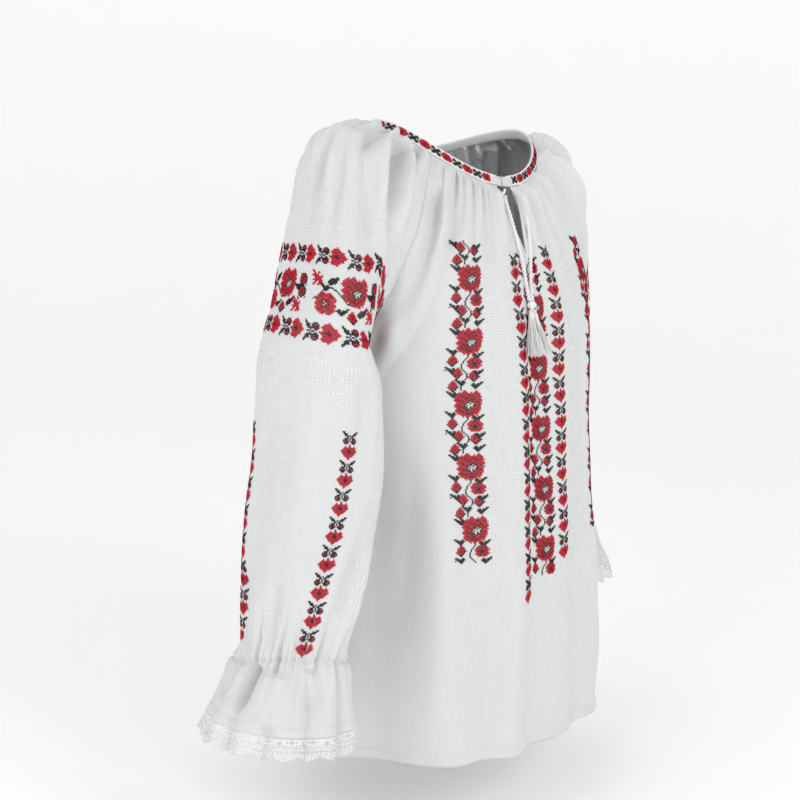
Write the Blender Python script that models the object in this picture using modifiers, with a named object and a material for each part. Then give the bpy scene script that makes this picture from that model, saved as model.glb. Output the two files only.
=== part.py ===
"""A Romanian ie blouse with the form it has on a wearer, and nobody in it.

The front faces -Y, the wearer's right sleeve is on the -X side, and +Z is up. The
origin lies at the top of the shoulders, on the line where the blouse is carried.
Every panel is a sheet worked out from the sections below and given its thickness
inwards, so that the tables hold the outer face of the cloth.
"""

import math

import bmesh
import bpy
import numpy as np

BLOUSE = "romanian_ie_blouse"

# Cloth, in metres
CLOTH_WALL = 0.0012
LACE_WALL = 0.0010
SEAM_GAP = 0.0003

# Neckline, an oval that dips at the front and a little at the back
NECK_HALF_WIDTH = 0.119
NECK_HALF_DEPTH = 0.080
NECK_CENTRE_Y = 0.002
NECK_FRONT_Z = -0.052
NECK_BACK_Z = -0.030
RAGLAN_TURN = 50.0

# Neckband
BAND_HEIGHT = 0.0105
BAND_THICKNESS = 0.0024
BAND_LEAN = 0.35
BAND_END_X = -0.006
BAND_END_GAP = 0.0016
BAND_PARTS = 60

# Slit at the centre front, below the band
SLIT_RIGHT_X = -0.024
SLIT_LEFT_X = 0.009
SLIT_ROWS = 4

# Levels
UNDERARM_Z = -0.245
HEM_Z = -0.636

# Shoulder caps, from the neckline to the ring round the underarm. Each row is an arc
# from the front raglan seam over the shoulder's top to the back seam. It opens out by
# its arc, in degrees each way, until it is a whole ring. The chord joins its two ends,
# and heading turns the arc's away side to the front.
CAP_COLUMNS = (
    "share",
    "top_x",
    "top_y",
    "top_z",
    "chord_x",
    "chord_y",
    "chord_z",
    "half_depth",
    "arc",
    "heading",
)
CAP_SECTIONS = {
    "right": (
        (0.00, 0.119, 0.002, 0.000, 0.0912, 0.002, -0.017, 0.0800, 40.0, 0.0),
        (0.25, 0.155, 0.001, 0.002, 0.116, -0.005, -0.052, 0.0680, 64.0, 0.0),
        (0.50, 0.192, -0.008, -0.009, 0.142, -0.008, -0.104, 0.0690, 98.0, 0.0),
        (0.75, 0.222, -0.028, -0.060, 0.168, -0.007, -0.172, 0.0670, 128.0, 0.0),
        (1.00, 0.266, -0.058, -0.156, 0.190, -0.002, -0.245, 0.0660, 180.0, 0.0),
    ),
    "left": (
        (0.00, 0.119, 0.002, 0.000, 0.0912, 0.002, -0.017, 0.0800, 40.0, 0.0),
        (0.25, 0.150, 0.004, -0.002, 0.116, -0.001, -0.052, 0.0725, 62.0, 0.0),
        (0.50, 0.180, 0.008, -0.018, 0.142, -0.004, -0.104, 0.0690, 98.0, 0.0),
        (0.75, 0.208, 0.018, -0.068, 0.168, 0.000, -0.172, 0.0670, 128.0, 0.0),
        (1.00, 0.252, 0.034, -0.158, 0.190, 0.002, -0.245, 0.0620, 180.0, 0.0),
    ),
}

# Middle line of the front and the back between the neckline and the underarm level.
# turn is the half angle of the ellipse that the row is an arc of.
YOKE_COLUMNS = ("share", "front_y", "front_z", "back_y", "back_z", "turn")
YOKE_SECTIONS = (
    (0.00, -0.078, -0.052, 0.082, -0.030, 50.0),
    (0.25, -0.097, -0.092, 0.106, -0.076, 60.0),
    (0.50, -0.115, -0.140, 0.121, -0.131, 71.0),
    (0.75, -0.1275, -0.192, 0.128, -0.188, 82.0),
    (1.00, -0.134, -0.245, 0.131, -0.245, 90.0),
)

# Body below the underarm, by the level's distance under the shoulders
BODY_COLUMNS = ("below", "half_width", "front_depth", "back_depth", "middle_y")
BODY_SECTIONS = (
    (0.245, 0.190, 0.136, 0.129, 0.002),
    (0.320, 0.189, 0.145, 0.130, 0.002),
    (0.420, 0.197, 0.1565, 0.138, 0.002),
    (0.530, 0.209, 0.165, 0.151, 0.001),
    (0.636, 0.218, 0.172, 0.164, 0.000),
)

# Sleeves below the underarm. thick is the half size away from the body, wide the half
# size along it, heading turns the away side to the front, and lift raises it.
SLEEVE_COLUMNS = ("way", "x", "y", "z", "thick", "wide", "heading", "lift", "pleat")
SLEEVE_SECTIONS = {
    "right": (
        (0.12, 0.238, -0.045, -0.238, 0.050, 0.062, 22.0, 26.0, 0.0),
        (0.25, 0.240, -0.049, -0.285, 0.050, 0.065, 20.0, 12.0, 0.0),
        (0.36, 0.242, -0.051, -0.325, 0.050, 0.066, 19.0, 8.0, 0.0),
        (0.50, 0.252, -0.055, -0.375, 0.050, 0.066, 19.0, 6.0, 0.0002),
        (0.64, 0.268, -0.061, -0.430, 0.048, 0.061, 19.0, 5.0, 0.0008),
        (0.74, 0.277, -0.066, -0.466, 0.046, 0.0565, 19.0, 4.0, 0.0016),
        (0.80, 0.2865, -0.070, -0.497, 0.044, 0.0495, 19.0, 4.0, 0.0022),
        (0.86, 0.290, -0.070, -0.517, 0.050, 0.057, 19.0, 4.0, 0.0032),
        (1.00, 0.298, -0.069, -0.562, 0.062, 0.070, 19.0, 4.0, 0.0042),
    ),
    "left": (
        (0.12, 0.238, 0.038, -0.232, 0.050, 0.060, -14.0, 24.0, 0.0),
        (0.25, 0.238, 0.046, -0.278, 0.050, 0.063, -14.0, 12.0, 0.0),
        (0.36, 0.240, 0.050, -0.315, 0.050, 0.064, -14.0, 8.0, 0.0),
        (0.50, 0.248, 0.054, -0.360, 0.050, 0.062, -14.0, 6.0, 0.0002),
        (0.64, 0.264, 0.054, -0.405, 0.048, 0.058, -12.0, 5.0, 0.0008),
        (0.74, 0.276, 0.050, -0.436, 0.046, 0.0555, -10.0, 4.0, 0.0016),
        (0.80, 0.287, 0.046, -0.463, 0.044, 0.0495, -8.0, 4.0, 0.0022),
        (0.86, 0.291, 0.044, -0.483, 0.050, 0.057, -8.0, 4.0, 0.0032),
        (1.00, 0.298, 0.041, -0.528, 0.062, 0.070, -8.0, 4.0, 0.0042),
    ),
}
SQUARE_WAY = 0.12
SIDES = {"right": -1.0, "left": 1.0}

# Lace at the foot of each ruffle
LACE_DROP = 0.023

# Largest folds of the body: soft ridges, or troughs where the height is negative. x is
# the place across and z the level, at the upper and the lower end of each fold.
FOLD_COLUMNS = ("x_top", "z_top", "x_foot", "z_foot", "width", "height")
FRONT_FOLDS = (
    (-0.036, -0.20, -0.060, -0.66, 0.024, 0.012),
    (-0.004, -0.17, -0.024, -0.66, 0.018, -0.005),
    (0.045, -0.14, 0.025, -0.66, 0.026, 0.003),
    (-0.098, -0.22, -0.098, -0.66, 0.020, -0.003),
    (-0.125, -0.34, -0.122, -0.66, 0.030, 0.012),
    (-0.170, -0.34, -0.190, -0.66, 0.026, -0.022),
    (0.125, -0.16, 0.120, -0.66, 0.036, 0.010),
    (0.070, -0.34, 0.070, -0.66, 0.016, -0.005),
    (0.160, -0.36, 0.165, -0.66, 0.018, 0.005),
)
BACK_FOLDS = (
    (-0.120, -0.24, -0.130, -0.66, 0.026, 0.006),
    (-0.060, -0.28, -0.065, -0.66, 0.024, -0.005),
    (0.000, -0.16, 0.004, -0.66, 0.030, 0.005),
    (0.065, -0.28, 0.070, -0.66, 0.024, -0.005),
    (0.125, -0.24, 0.135, -0.66, 0.026, 0.006),
)
GATHER_HEIGHT = 0.0011
GATHER_REACH = 0.030

# Number of cells across and down each sheet
FRONT_ACROSS = 28
BACK_ACROSS = 24
SLEEVE_AROUND = 32
YOKE_SHARES = (0.0, 0.08, 0.17, 0.28, 0.40, 0.55, 0.70, 0.85, 1.0)
BODY_SHARES = (0.14, 0.28, 0.42, 0.56, 0.70, 0.85, 1.0)
SLEEVE_WAYS = (0.06, 0.12, 0.20, 0.30, 0.42, 0.54, 0.65, 0.74, 0.80, 0.85, 0.92, 1.0)

# Cords that tie the neckband, and what hangs on them
CORD_DIAMETER = 0.0042
CORD_STEP = 0.010
CORD_ROUTES = {
    "right": (
        (-0.0090, -0.0812, -0.0560),
        (-0.0115, -0.0859, -0.0640),
        (-0.0125, -0.0926, -0.0760),
        (-0.0125, -0.0989, -0.0900),
        (-0.0120, -0.1055, -0.1060),
        (-0.0115, -0.1111, -0.1220),
        (-0.0112, -0.1162, -0.1380),
        (-0.0112, -0.1210, -0.1540),
        (-0.0116, -0.1257, -0.1670),
    ),
    "left": (
        (0.0158, -0.0826, -0.0555),
        (0.0165, -0.0860, -0.0620),
        (0.0165, -0.0906, -0.0720),
        (0.0150, -0.0971, -0.0860),
        (0.0110, -0.1040, -0.1020),
        (0.0060, -0.1103, -0.1200),
        (0.0010, -0.1154, -0.1380),
        (-0.0035, -0.1205, -0.1540),
        (-0.0068, -0.1258, -0.1674),
    ),
}
KNOT_CENTRE = (-0.0092, -0.1272, -0.1717)
KNOT_RADIUS = 0.0052
TASSEL_LENGTH = 0.050
TASSEL_TOP_RADIUS = 0.0022
TASSEL_NECK_RADIUS = 0.0030
TASSEL_FOOT_RADIUS = 0.0072
TASSEL_TOPS = {"right": (-0.0118, -0.1280, -0.1763), "left": (-0.0066, -0.1278, -0.1763)}
TASSEL_SWINGS = {"right": (-18.0, 10.0, 0.0), "left": (-12.5, -12.0, 0.0)}

COLOURS = {
    "cloth": (0.82, 0.81, 0.79, 1.0),
    "band": (0.62, 0.10, 0.12, 1.0),
    "lace": (0.86, 0.86, 0.85, 1.0),
    "cord": (0.88, 0.88, 0.87, 1.0),
}


def clear_scene():
    for thing in list(bpy.data.objects):
        bpy.data.objects.remove(thing, do_unlink=True)


def material(name, roughness):
    made = bpy.data.materials.new(name)
    made.use_nodes = True
    shader = made.node_tree.nodes["Principled BSDF"]
    shader.inputs["Base Color"].default_value = COLOURS[name]
    shader.inputs["Roughness"].default_value = roughness
    shader.inputs["Metallic"].default_value = 0.0
    return made


def row_at(table, columns, station):
    """The named values of a table at a station: a smooth curve through its rows."""
    rows = np.array(table, float)
    stations = rows[:, 0]
    slopes = np.gradient(rows, stations, axis=0)
    spot = int(np.clip(np.searchsorted(stations, station) - 1, 0, len(rows) - 2))
    step = stations[spot + 1] - stations[spot]
    s = (station - stations[spot]) / step
    values = (
        (2 * s**3 - 3 * s**2 + 1) * rows[spot]
        + (s**3 - 2 * s**2 + s) * step * slopes[spot]
        + (3 * s**2 - 2 * s**3) * rows[spot + 1]
        + (s**3 - s**2) * step * slopes[spot + 1]
    )
    return dict(zip(columns, values))


def neck_point(turn):
    """A point of the neckline. turn is 0 at the front and grows to the wearer's left."""
    dip = NECK_FRONT_Z if math.cos(turn) > 0 else NECK_BACK_Z
    return np.array(
        (
            NECK_HALF_WIDTH * math.sin(turn),
            NECK_CENTRE_Y - NECK_HALF_DEPTH * math.cos(turn),
            dip * math.cos(turn) ** 2,
        )
    )


def cap_arc(name, share, swing):
    """A shoulder cap before it is eased to the neckline. swing runs from -1 at the
    front raglan seam over the shoulder to 1 at the back one."""
    side = SIDES[name]
    row = row_at(CAP_SECTIONS[name], CAP_COLUMNS, share)
    arc = math.radians(row["arc"])
    heading = math.radians(row["heading"])
    top = np.array((side * row["top_x"], row["top_y"], row["top_z"]))
    chord = np.array((side * row["chord_x"], row["chord_y"], row["chord_z"]))
    reach = (top - chord) / (1 - math.cos(arc))
    along = np.array((side * math.sin(heading), math.cos(heading), 0.0))
    depth = row["half_depth"] * math.sin(arc * swing)
    return top - reach + reach * math.cos(arc * swing) + along * depth


def cap_point(name, share, swing):
    turn = SIDES[name] * math.radians(90 + (90 - RAGLAN_TURN) * swing)
    ease = (1 - share) ** 2
    return cap_arc(name, share, swing) + ease * (
        neck_point(turn) - cap_arc(name, 0.0, swing)
    )


def yoke_arc(face, share, across):
    """A row of the front or back above the underarm, from seam to seam."""
    row = row_at(YOKE_SECTIONS, YOKE_COLUMNS, share)
    name = "right" if across < 0 else "left"
    seam = cap_point(name, share, -1.0 if face == "front" else 1.0)
    turn = math.radians(row["turn"])
    middle = (math.cos(across * turn) - math.cos(turn)) / (1 - math.cos(turn))
    return np.array(
        (
            abs(seam[0]) * math.sin(across * turn) / math.sin(turn),
            seam[1] + (row[face + "_y"] - seam[1]) * middle,
            seam[2] + (row[face + "_z"] - seam[2]) * middle,
        )
    )


def body_form(face, fall, across):
    """The front or back before its folds. fall is 0 at the neckline, 1 at the underarm
    and 2 at the hem. across runs from -1 at the wearer's right to 1 at the left."""
    facing = -1.0 if face == "front" else 1.0
    if fall <= 1:
        turn = math.radians(RAGLAN_TURN) * across
        neck = neck_point(turn if face == "front" else math.pi - turn)
        ease = (1 - fall) ** 2
        return yoke_arc(face, fall, across) + ease * (neck - yoke_arc(face, 0.0, across))
    level = UNDERARM_Z + (fall - 1) * (HEM_Z - UNDERARM_Z)
    row = row_at(BODY_SECTIONS, BODY_COLUMNS, -level)
    turn = across * math.pi / 2
    depth = facing * row[face + "_depth"]
    return np.array(
        (
            row["half_width"] * math.sin(turn),
            row["middle_y"] + depth * math.cos(turn),
            level,
        )
    )


def fold_height(folds, x, z):
    """How far the folds lift the cloth at a place."""
    lift = 0.0
    for fold in folds:
        fold = dict(zip(FOLD_COLUMNS, fold))
        along = (z - fold["z_top"]) / (fold["z_foot"] - fold["z_top"])
        middle = fold["x_top"] + along * (fold["x_foot"] - fold["x_top"])
        fade = np.clip(along / 0.3 + 0.5, 0, 1) * np.clip((1.15 - along) / 0.15, 0, 1)
        lift += fold["height"] * fade * math.exp(-(((x - middle) / fold["width"]) ** 2))
    return lift


def body_point(face, fall, across, gather=0.0):
    """A point of the front or back, folds and neckline gathers included."""
    base = body_form(face, fall, across)
    facing = -1.0 if face == "front" else 1.0
    out = np.array((math.sin(across * 1.2), facing * math.cos(across * 1.2), 0.0))
    folds = FRONT_FOLDS if face == "front" else BACK_FOLDS
    seam_fade = 1 - across**4
    below = base[2] - body_form(face, 0.0, across)[2]
    gathers = gather * GATHER_HEIGHT * math.exp(below / GATHER_REACH)
    return base + out * (fold_height(folds, base[0], base[2]) + gathers) * seam_fade


def sleeve_table(name):
    """The sleeve's sections, led by the ring in which its shoulder cap ends."""
    last = dict(zip(CAP_COLUMNS, CAP_SECTIONS[name][-1]))
    top = np.array((last["top_x"], last["top_y"], last["top_z"]))
    foot = np.array((last["chord_x"], last["chord_y"], last["chord_z"]))
    centre, away = (top + foot) / 2, (top - foot) / 2
    flat = math.hypot(away[0], away[1])
    first = (
        0.0,
        *centre,
        math.hypot(flat, away[2]),
        last["half_depth"],
        math.degrees(math.atan2(-away[1], away[0])),
        math.degrees(math.atan2(away[2], flat)),
        0.0,
    )
    return (first, *SLEEVE_SECTIONS[name])


def sleeve_point(name, way, around, pleat=0.0):
    """A point of a sleeve below the underarm. around runs from -1 to 1, both at the
    underarm seam, with 0 at the outer side. pleat is 1 on a pleat and -1 between."""
    side = SIDES[name]
    row = row_at(sleeve_table(name), SLEEVE_COLUMNS, way)
    heading = math.radians(row["heading"])
    lift = math.radians(row["lift"])
    away = np.array((side * math.cos(heading), -math.sin(heading), 0.0)) * math.cos(lift)
    away[2] = math.sin(lift)
    along = np.array((side * math.sin(heading), math.cos(heading), 0.0))
    if way < SQUARE_WAY:
        first = math.radians(CAP_SECTIONS[name][-1][CAP_COLUMNS.index("heading")])
        start = np.array((side * math.sin(first), math.cos(first), 0.0))
        along = start + (along - start) * way / SQUARE_WAY
    centre = np.array((side * row["x"], row["y"], row["z"]))
    turn = around * math.pi
    thick = row["thick"] + pleat * row["pleat"]
    wide = row["wide"] + pleat * row["pleat"]
    return centre + away * thick * math.cos(turn) + along * wide * math.sin(turn)


def sheet_object(name, points, cells, wall, made_of, collection):
    """A sheet of cloth from its points and cells, thickened inwards."""
    mesh = bpy.data.meshes.new(name)
    form = bmesh.new()
    corners = [form.verts.new(point) for point in points]
    for cell in cells:
        form.faces.new([corners[corner] for corner in cell])
    form.normal_update()
    form.to_mesh(mesh)
    form.free()
    mesh.materials.append(made_of)
    mesh.shade_smooth()
    sheet = bpy.data.objects.new(name, mesh)
    collection.objects.link(sheet)
    solid = sheet.modifiers.new("cloth", "SOLIDIFY")
    solid.thickness = wall
    solid.offset = -1.0
    solid.use_even_offset = False
    return sheet


def drawn_in(edge, inner, other_inner, gap):
    """A seam point moved off the seam, to its own side, by half the gap."""
    own = (inner - edge) / np.linalg.norm(inner - edge)
    other = (other_inner - edge) / np.linalg.norm(other_inner - edge)
    apart = own - other
    return edge + apart / np.linalg.norm(apart) * gap / 2


def body_panel(face, collection, made_of):
    across_count = FRONT_ACROSS if face == "front" else BACK_ACROSS
    falls = list(YOKE_SHARES) + [1 + share for share in BODY_SHARES]
    half = across_count // 2
    slit_rows = SLIT_ROWS if face == "front" else 0
    swing = -1.0 if face == "front" else 1.0
    points = []
    index = {}
    for row, fall in enumerate(falls):
        closing = 1 - row / slit_rows if row < slit_rows else 0.0
        for part, slit_x in ((-1, SLIT_RIGHT_X), (1, SLIT_LEFT_X)):
            width = body_form(face, fall, 1.0)[0]
            inner = math.asin(slit_x * closing / width) * 2 / math.pi if slit_rows else 0.0
            for step in range(half + 1):
                if part == 1 and step == 0 and row >= slit_rows:
                    index[row, part, step] = index[row, -1, 0]
                    continue
                across = inner + (part - inner) * step / half
                gather = 1.0 if step % 2 else -1.0
                point = body_point(face, fall, across, gather)
                if step == half:
                    point = seam_edge(face, part, fall, swing)
                index[row, part, step] = len(points)
                points.append(point)
    cells = []
    for row in range(len(falls) - 1):
        for part in (-1, 1):
            for step in range(half):
                cell = [
                    index[row, part, step],
                    index[row, part, step + 1],
                    index[row + 1, part, step + 1],
                    index[row + 1, part, step],
                ]
                outwards = (part == -1) == (face == "front")
                cells.append(cell if outwards else cell[::-1])
    return sheet_object(face, points, cells, CLOTH_WALL, made_of, collection)


def seam_edge(face, part, fall, swing):
    """The edge of a body panel at its raglan or side seam, drawn in by the gap."""
    edge = body_form(face, fall, float(part))
    near = 0.94
    inner = body_form(face, fall, part * near)
    if fall < 1:
        other = cap_point("right" if part < 0 else "left", fall, swing * near)
    else:
        other = body_form("back" if face == "front" else "front", fall, part * near)
    return drawn_in(edge, inner, other, SEAM_GAP * 2.2)


def sleeve(name, collection, made_of):
    side = SIDES[name]
    points = []
    index = {}
    rows = [("cap", share) for share in YOKE_SHARES]
    rows += [("arm", way) for way in SLEEVE_WAYS]
    for row, (kind, station) in enumerate(rows):
        closed = kind == "arm" or station == 1.0
        for step in range(SLEEVE_AROUND + 1):
            if closed and step == SLEEVE_AROUND:
                index[row, step] = index[row, 0]
                continue
            swing = 2 * step / SLEEVE_AROUND - 1
            if kind == "cap":
                point = cap_point(name, station, swing)
                gather = math.cos(math.pi * step / 2) * GATHER_HEIGHT
                drop = np.linalg.norm(point - cap_point(name, 0.0, swing))
                up = np.array((side * 0.4, 0.5 * swing, 0.8))
                point = point + up * gather * math.exp(-drop / GATHER_REACH)
                if abs(swing) == 1.0 and not closed:
                    face = "front" if swing < 0 else "back"
                    edge = cap_point(name, station, swing)
                    inner = cap_point(name, station, swing * 0.94)
                    other = body_form(face, station, side * 0.94)
                    point = drawn_in(edge, inner, other, SEAM_GAP * 2.2)
                elif abs(swing) == 1.0:
                    point = point + np.array((side * 2 * SEAM_GAP, 0.0, 0.0))
            else:
                pleat = 1.0 if step % 2 else -1.0
                point = sleeve_point(name, station, swing, pleat)
            index[row, step] = len(points)
            points.append(point)
    cells = []
    for row in range(len(rows) - 1):
        for step in range(SLEEVE_AROUND):
            cell = [
                index[row, step],
                index[row, step + 1],
                index[row + 1, step + 1],
                index[row + 1, step],
            ]
            cells.append(cell if side < 0 else cell[::-1])
    return sheet_object(f"sleeve_{name}", points, cells, CLOTH_WALL, made_of, collection)


def lace(name, collection, made_of):
    """The lace edging: a wall that carries on from the foot of the ruffle."""
    side = SIDES[name]
    points = []
    for row, drop in enumerate((1.5 * SEAM_GAP, LACE_DROP / 2, LACE_DROP)):
        for step in range(SLEEVE_AROUND):
            around = 2 * step / SLEEVE_AROUND - 1
            pleat = 1.0 if step % 2 else -1.0
            foot = sleeve_point(name, 1.0, around, pleat)
            above = sleeve_point(name, 0.9, around, pleat)
            down = (foot - above) / np.linalg.norm(foot - above)
            points.append(foot + down * drop)
    cells = []
    for row in range(2):
        for step in range(SLEEVE_AROUND):
            after = (step + 1) % SLEEVE_AROUND
            top, foot = row * SLEEVE_AROUND, (row + 1) * SLEEVE_AROUND
            cell = [top + step, top + after, foot + after, foot + step]
            cells.append(cell if side < 0 else cell[::-1])
    return sheet_object(f"lace_{name}", points, cells, LACE_WALL, made_of, collection)


def neckband(collection, made_of):
    """The band on the neckline, open between its two ends at the front."""
    start = math.asin((BAND_END_X + BAND_END_GAP / 2) / NECK_HALF_WIDTH)
    stop = math.asin((BAND_END_X - BAND_END_GAP / 2) / NECK_HALF_WIDTH) + 2 * math.pi
    points = []
    for part in range(BAND_PARTS + 1):
        turn = start + (stop - start) * part / BAND_PARTS
        foot = neck_point(turn)
        inward = np.array((-math.sin(turn), math.cos(turn), 0.0))
        rise = inward * BAND_LEAN * (1 + abs(math.sin(turn))) + np.array((0.0, 0.0, 1.0))
        rise /= np.linalg.norm(rise)
        across = np.cross(rise, np.array((math.cos(turn), math.sin(turn), 0.0)))
        across /= np.linalg.norm(across)
        if across @ inward > 0:
            across = -across
        face = foot + across * (BAND_THICKNESS - CLOTH_WALL) / 2
        face = face + rise * 3.5 * SEAM_GAP
        points.append(face + rise * BAND_HEIGHT)
        points.append(face)
    cells = []
    for part in range(BAND_PARTS):
        spot = 2 * part
        cells.append([spot, spot + 1, spot + 3, spot + 2])
    return sheet_object("neckband", points, cells, BAND_THICKNESS, made_of, collection)


def smooth_route(route, step):
    """Points along a smooth curve through a route's own points."""
    route = np.array(route, float)
    stations = np.concatenate(
        ([0.0], np.cumsum(np.linalg.norm(np.diff(route, axis=0), axis=1)))
    )
    table = np.column_stack((stations, route))
    count = max(2, round(stations[-1] / step))
    places = np.linspace(0, stations[-1], count + 1)
    columns = ("way", "x", "y", "z")
    rows = (row_at(table, columns, place) for place in places)
    return [(row["x"], row["y"], row["z"]) for row in rows]


def cord(name, collection, made_of):
    curve = bpy.data.curves.new(f"cord_{name}", "CURVE")
    curve.dimensions = "3D"
    curve.bevel_depth = CORD_DIAMETER / 2
    curve.bevel_resolution = 2
    curve.use_fill_caps = True
    places = smooth_route(CORD_ROUTES[name], CORD_STEP)
    spline = curve.splines.new("POLY")
    spline.points.add(len(places) - 1)
    for spot, place in zip(spline.points, places):
        spot.co = (*place, 1.0)
    curve.materials.append(made_of)
    tube = bpy.data.objects.new(f"cord_{name}", curve)
    collection.objects.link(tube)
    return tube


def knot(collection, made_of):
    mesh = bpy.data.meshes.new("cord_knot")
    form = bmesh.new()
    bmesh.ops.create_uvsphere(form, u_segments=12, v_segments=8, radius=KNOT_RADIUS)
    bmesh.ops.scale(form, vec=(1.0, 0.75, 0.9), verts=form.verts)
    form.to_mesh(mesh)
    form.free()
    mesh.materials.append(made_of)
    mesh.shade_smooth()
    ball = bpy.data.objects.new("cord_knot", mesh)
    ball.location = KNOT_CENTRE
    collection.objects.link(ball)
    return ball


def tassel(name, collection, made_of):
    """A tassel: a turned outline that swings a little to its own side."""
    outline = (
        (TASSEL_TOP_RADIUS, 0.0),
        (TASSEL_NECK_RADIUS, -0.006),
        (TASSEL_FOOT_RADIUS * 0.75, -TASSEL_LENGTH * 0.55),
        (TASSEL_FOOT_RADIUS, -TASSEL_LENGTH),
    )
    mesh = bpy.data.meshes.new(f"tassel_{name}")
    form = bmesh.new()
    places = [(0.0, 0.0), *outline, (0.0, -TASSEL_LENGTH)]
    corners = [form.verts.new((radius, 0.0, level)) for radius, level in places]
    for upper, lower in zip(corners, corners[1:]):
        form.edges.new((upper, lower))
    form.to_mesh(mesh)
    form.free()
    mesh.materials.append(made_of)
    body = bpy.data.objects.new(f"tassel_{name}", mesh)
    body.location = TASSEL_TOPS[name]
    body.rotation_euler = [math.radians(turn) for turn in TASSEL_SWINGS[name]]
    collection.objects.link(body)
    turned = body.modifiers.new("turned", "SCREW")
    turned.steps = 12
    turned.render_steps = 12
    turned.use_merge_vertices = True
    turned.merge_threshold = 0.0001
    return body


def main():
    clear_scene()
    collection = bpy.data.collections.new(BLOUSE)
    bpy.context.scene.collection.children.link(collection)
    cloth = material("cloth", 0.85)
    band = material("band", 0.85)
    trim = material("lace", 0.90)
    thread = material("cord", 0.80)
    for face in ("front", "back"):
        body_panel(face, collection, cloth)
    for name in SIDES:
        sleeve(name, collection, cloth)
        lace(name, collection, trim)
        cord(name, collection, thread)
        tassel(name, collection, thread)
    neckband(collection, band)
    knot(collection, thread)


main()
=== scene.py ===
"""A Romanian ie blouse in its worn form: soft cotton panels with their gathers and folds,
cross-stitch roses, lace edgings and a tasselled tie cord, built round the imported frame.

Coordinates are metres. The front faces -Y and the wearer's right sleeve is on the -X
side. A place on a body panel is (across, fall) and one on a sleeve is (around, down).
"""

import math

import bpy
import numpy as np
from bpy.props import FloatProperty, FloatVectorProperty, PointerProperty
from mathutils import Matrix, Vector


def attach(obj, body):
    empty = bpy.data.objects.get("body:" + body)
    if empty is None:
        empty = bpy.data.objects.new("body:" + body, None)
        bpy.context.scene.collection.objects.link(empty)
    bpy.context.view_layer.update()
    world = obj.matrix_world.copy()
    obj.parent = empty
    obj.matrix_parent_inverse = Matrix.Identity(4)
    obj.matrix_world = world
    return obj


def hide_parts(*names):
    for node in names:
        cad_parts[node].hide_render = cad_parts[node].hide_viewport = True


bl_info = {
    "name": "Romanian ie blouse",
    "version": (1, 0, 0),
    "blender": (4, 5, 0),
    "location": "3D View > Sidebar > Ie blouse",
    "description": "Sews, embroiders and lights a Romanian ie blouse",
    "category": "Object",
}

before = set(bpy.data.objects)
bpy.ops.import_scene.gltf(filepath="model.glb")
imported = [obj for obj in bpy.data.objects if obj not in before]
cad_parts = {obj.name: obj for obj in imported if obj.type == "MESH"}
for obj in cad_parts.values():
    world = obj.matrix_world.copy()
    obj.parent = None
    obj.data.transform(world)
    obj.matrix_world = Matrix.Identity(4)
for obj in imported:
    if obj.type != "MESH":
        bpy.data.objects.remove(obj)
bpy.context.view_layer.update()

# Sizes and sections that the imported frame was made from
CLOTH_WALL = 0.0012
SEAM_GAP = 0.0003
NECK_HALF_WIDTH = 0.119
NECK_HALF_DEPTH = 0.080
NECK_CENTRE_Y = 0.002
NECK_FRONT_Z = -0.052
NECK_BACK_Z = -0.030
RAGLAN_TURN = 50.0
SLIT_RIGHT_X = -0.024
SLIT_LEFT_X = 0.009
UNDERARM_Z = -0.245
HEM_Z = -0.636

CAP_COLUMNS = (
    "share",
    "top_x",
    "top_y",
    "top_z",
    "chord_x",
    "chord_y",
    "chord_z",
    "half_depth",
    "arc",
    "heading",
)
CAP_SECTIONS = {
    "right": (
        (0.00, 0.119, 0.002, 0.000, 0.0912, 0.002, -0.017, 0.0800, 40.0, 0.0),
        (0.25, 0.155, 0.001, 0.002, 0.116, -0.005, -0.052, 0.0680, 64.0, 0.0),
        (0.50, 0.192, -0.008, -0.009, 0.142, -0.008, -0.104, 0.0690, 98.0, 0.0),
        (0.75, 0.222, -0.028, -0.060, 0.168, -0.007, -0.172, 0.0670, 128.0, 0.0),
        (1.00, 0.266, -0.058, -0.156, 0.190, -0.002, -0.245, 0.0660, 180.0, 0.0),
    ),
    "left": (
        (0.00, 0.119, 0.002, 0.000, 0.0912, 0.002, -0.017, 0.0800, 40.0, 0.0),
        (0.25, 0.150, 0.004, -0.002, 0.116, -0.001, -0.052, 0.0725, 62.0, 0.0),
        (0.50, 0.180, 0.008, -0.018, 0.142, -0.004, -0.104, 0.0690, 98.0, 0.0),
        (0.75, 0.208, 0.018, -0.068, 0.168, 0.000, -0.172, 0.0670, 128.0, 0.0),
        (1.00, 0.252, 0.034, -0.158, 0.190, 0.002, -0.245, 0.0620, 180.0, 0.0),
    ),
}
YOKE_COLUMNS = ("share", "front_y", "front_z", "back_y", "back_z", "turn")
YOKE_SECTIONS = (
    (0.00, -0.078, -0.052, 0.082, -0.030, 50.0),
    (0.25, -0.097, -0.092, 0.106, -0.076, 60.0),
    (0.50, -0.115, -0.140, 0.121, -0.131, 71.0),
    (0.75, -0.1275, -0.192, 0.128, -0.188, 82.0),
    (1.00, -0.134, -0.245, 0.131, -0.245, 90.0),
)
BODY_COLUMNS = ("below", "half_width", "front_depth", "back_depth", "middle_y")
BODY_SECTIONS = (
    (0.245, 0.190, 0.136, 0.129, 0.002),
    (0.320, 0.189, 0.145, 0.130, 0.002),
    (0.420, 0.197, 0.1565, 0.138, 0.002),
    (0.530, 0.209, 0.165, 0.151, 0.001),
    (0.636, 0.218, 0.172, 0.164, 0.000),
)
SLEEVE_COLUMNS = ("way", "x", "y", "z", "thick", "wide", "heading", "lift")
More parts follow.
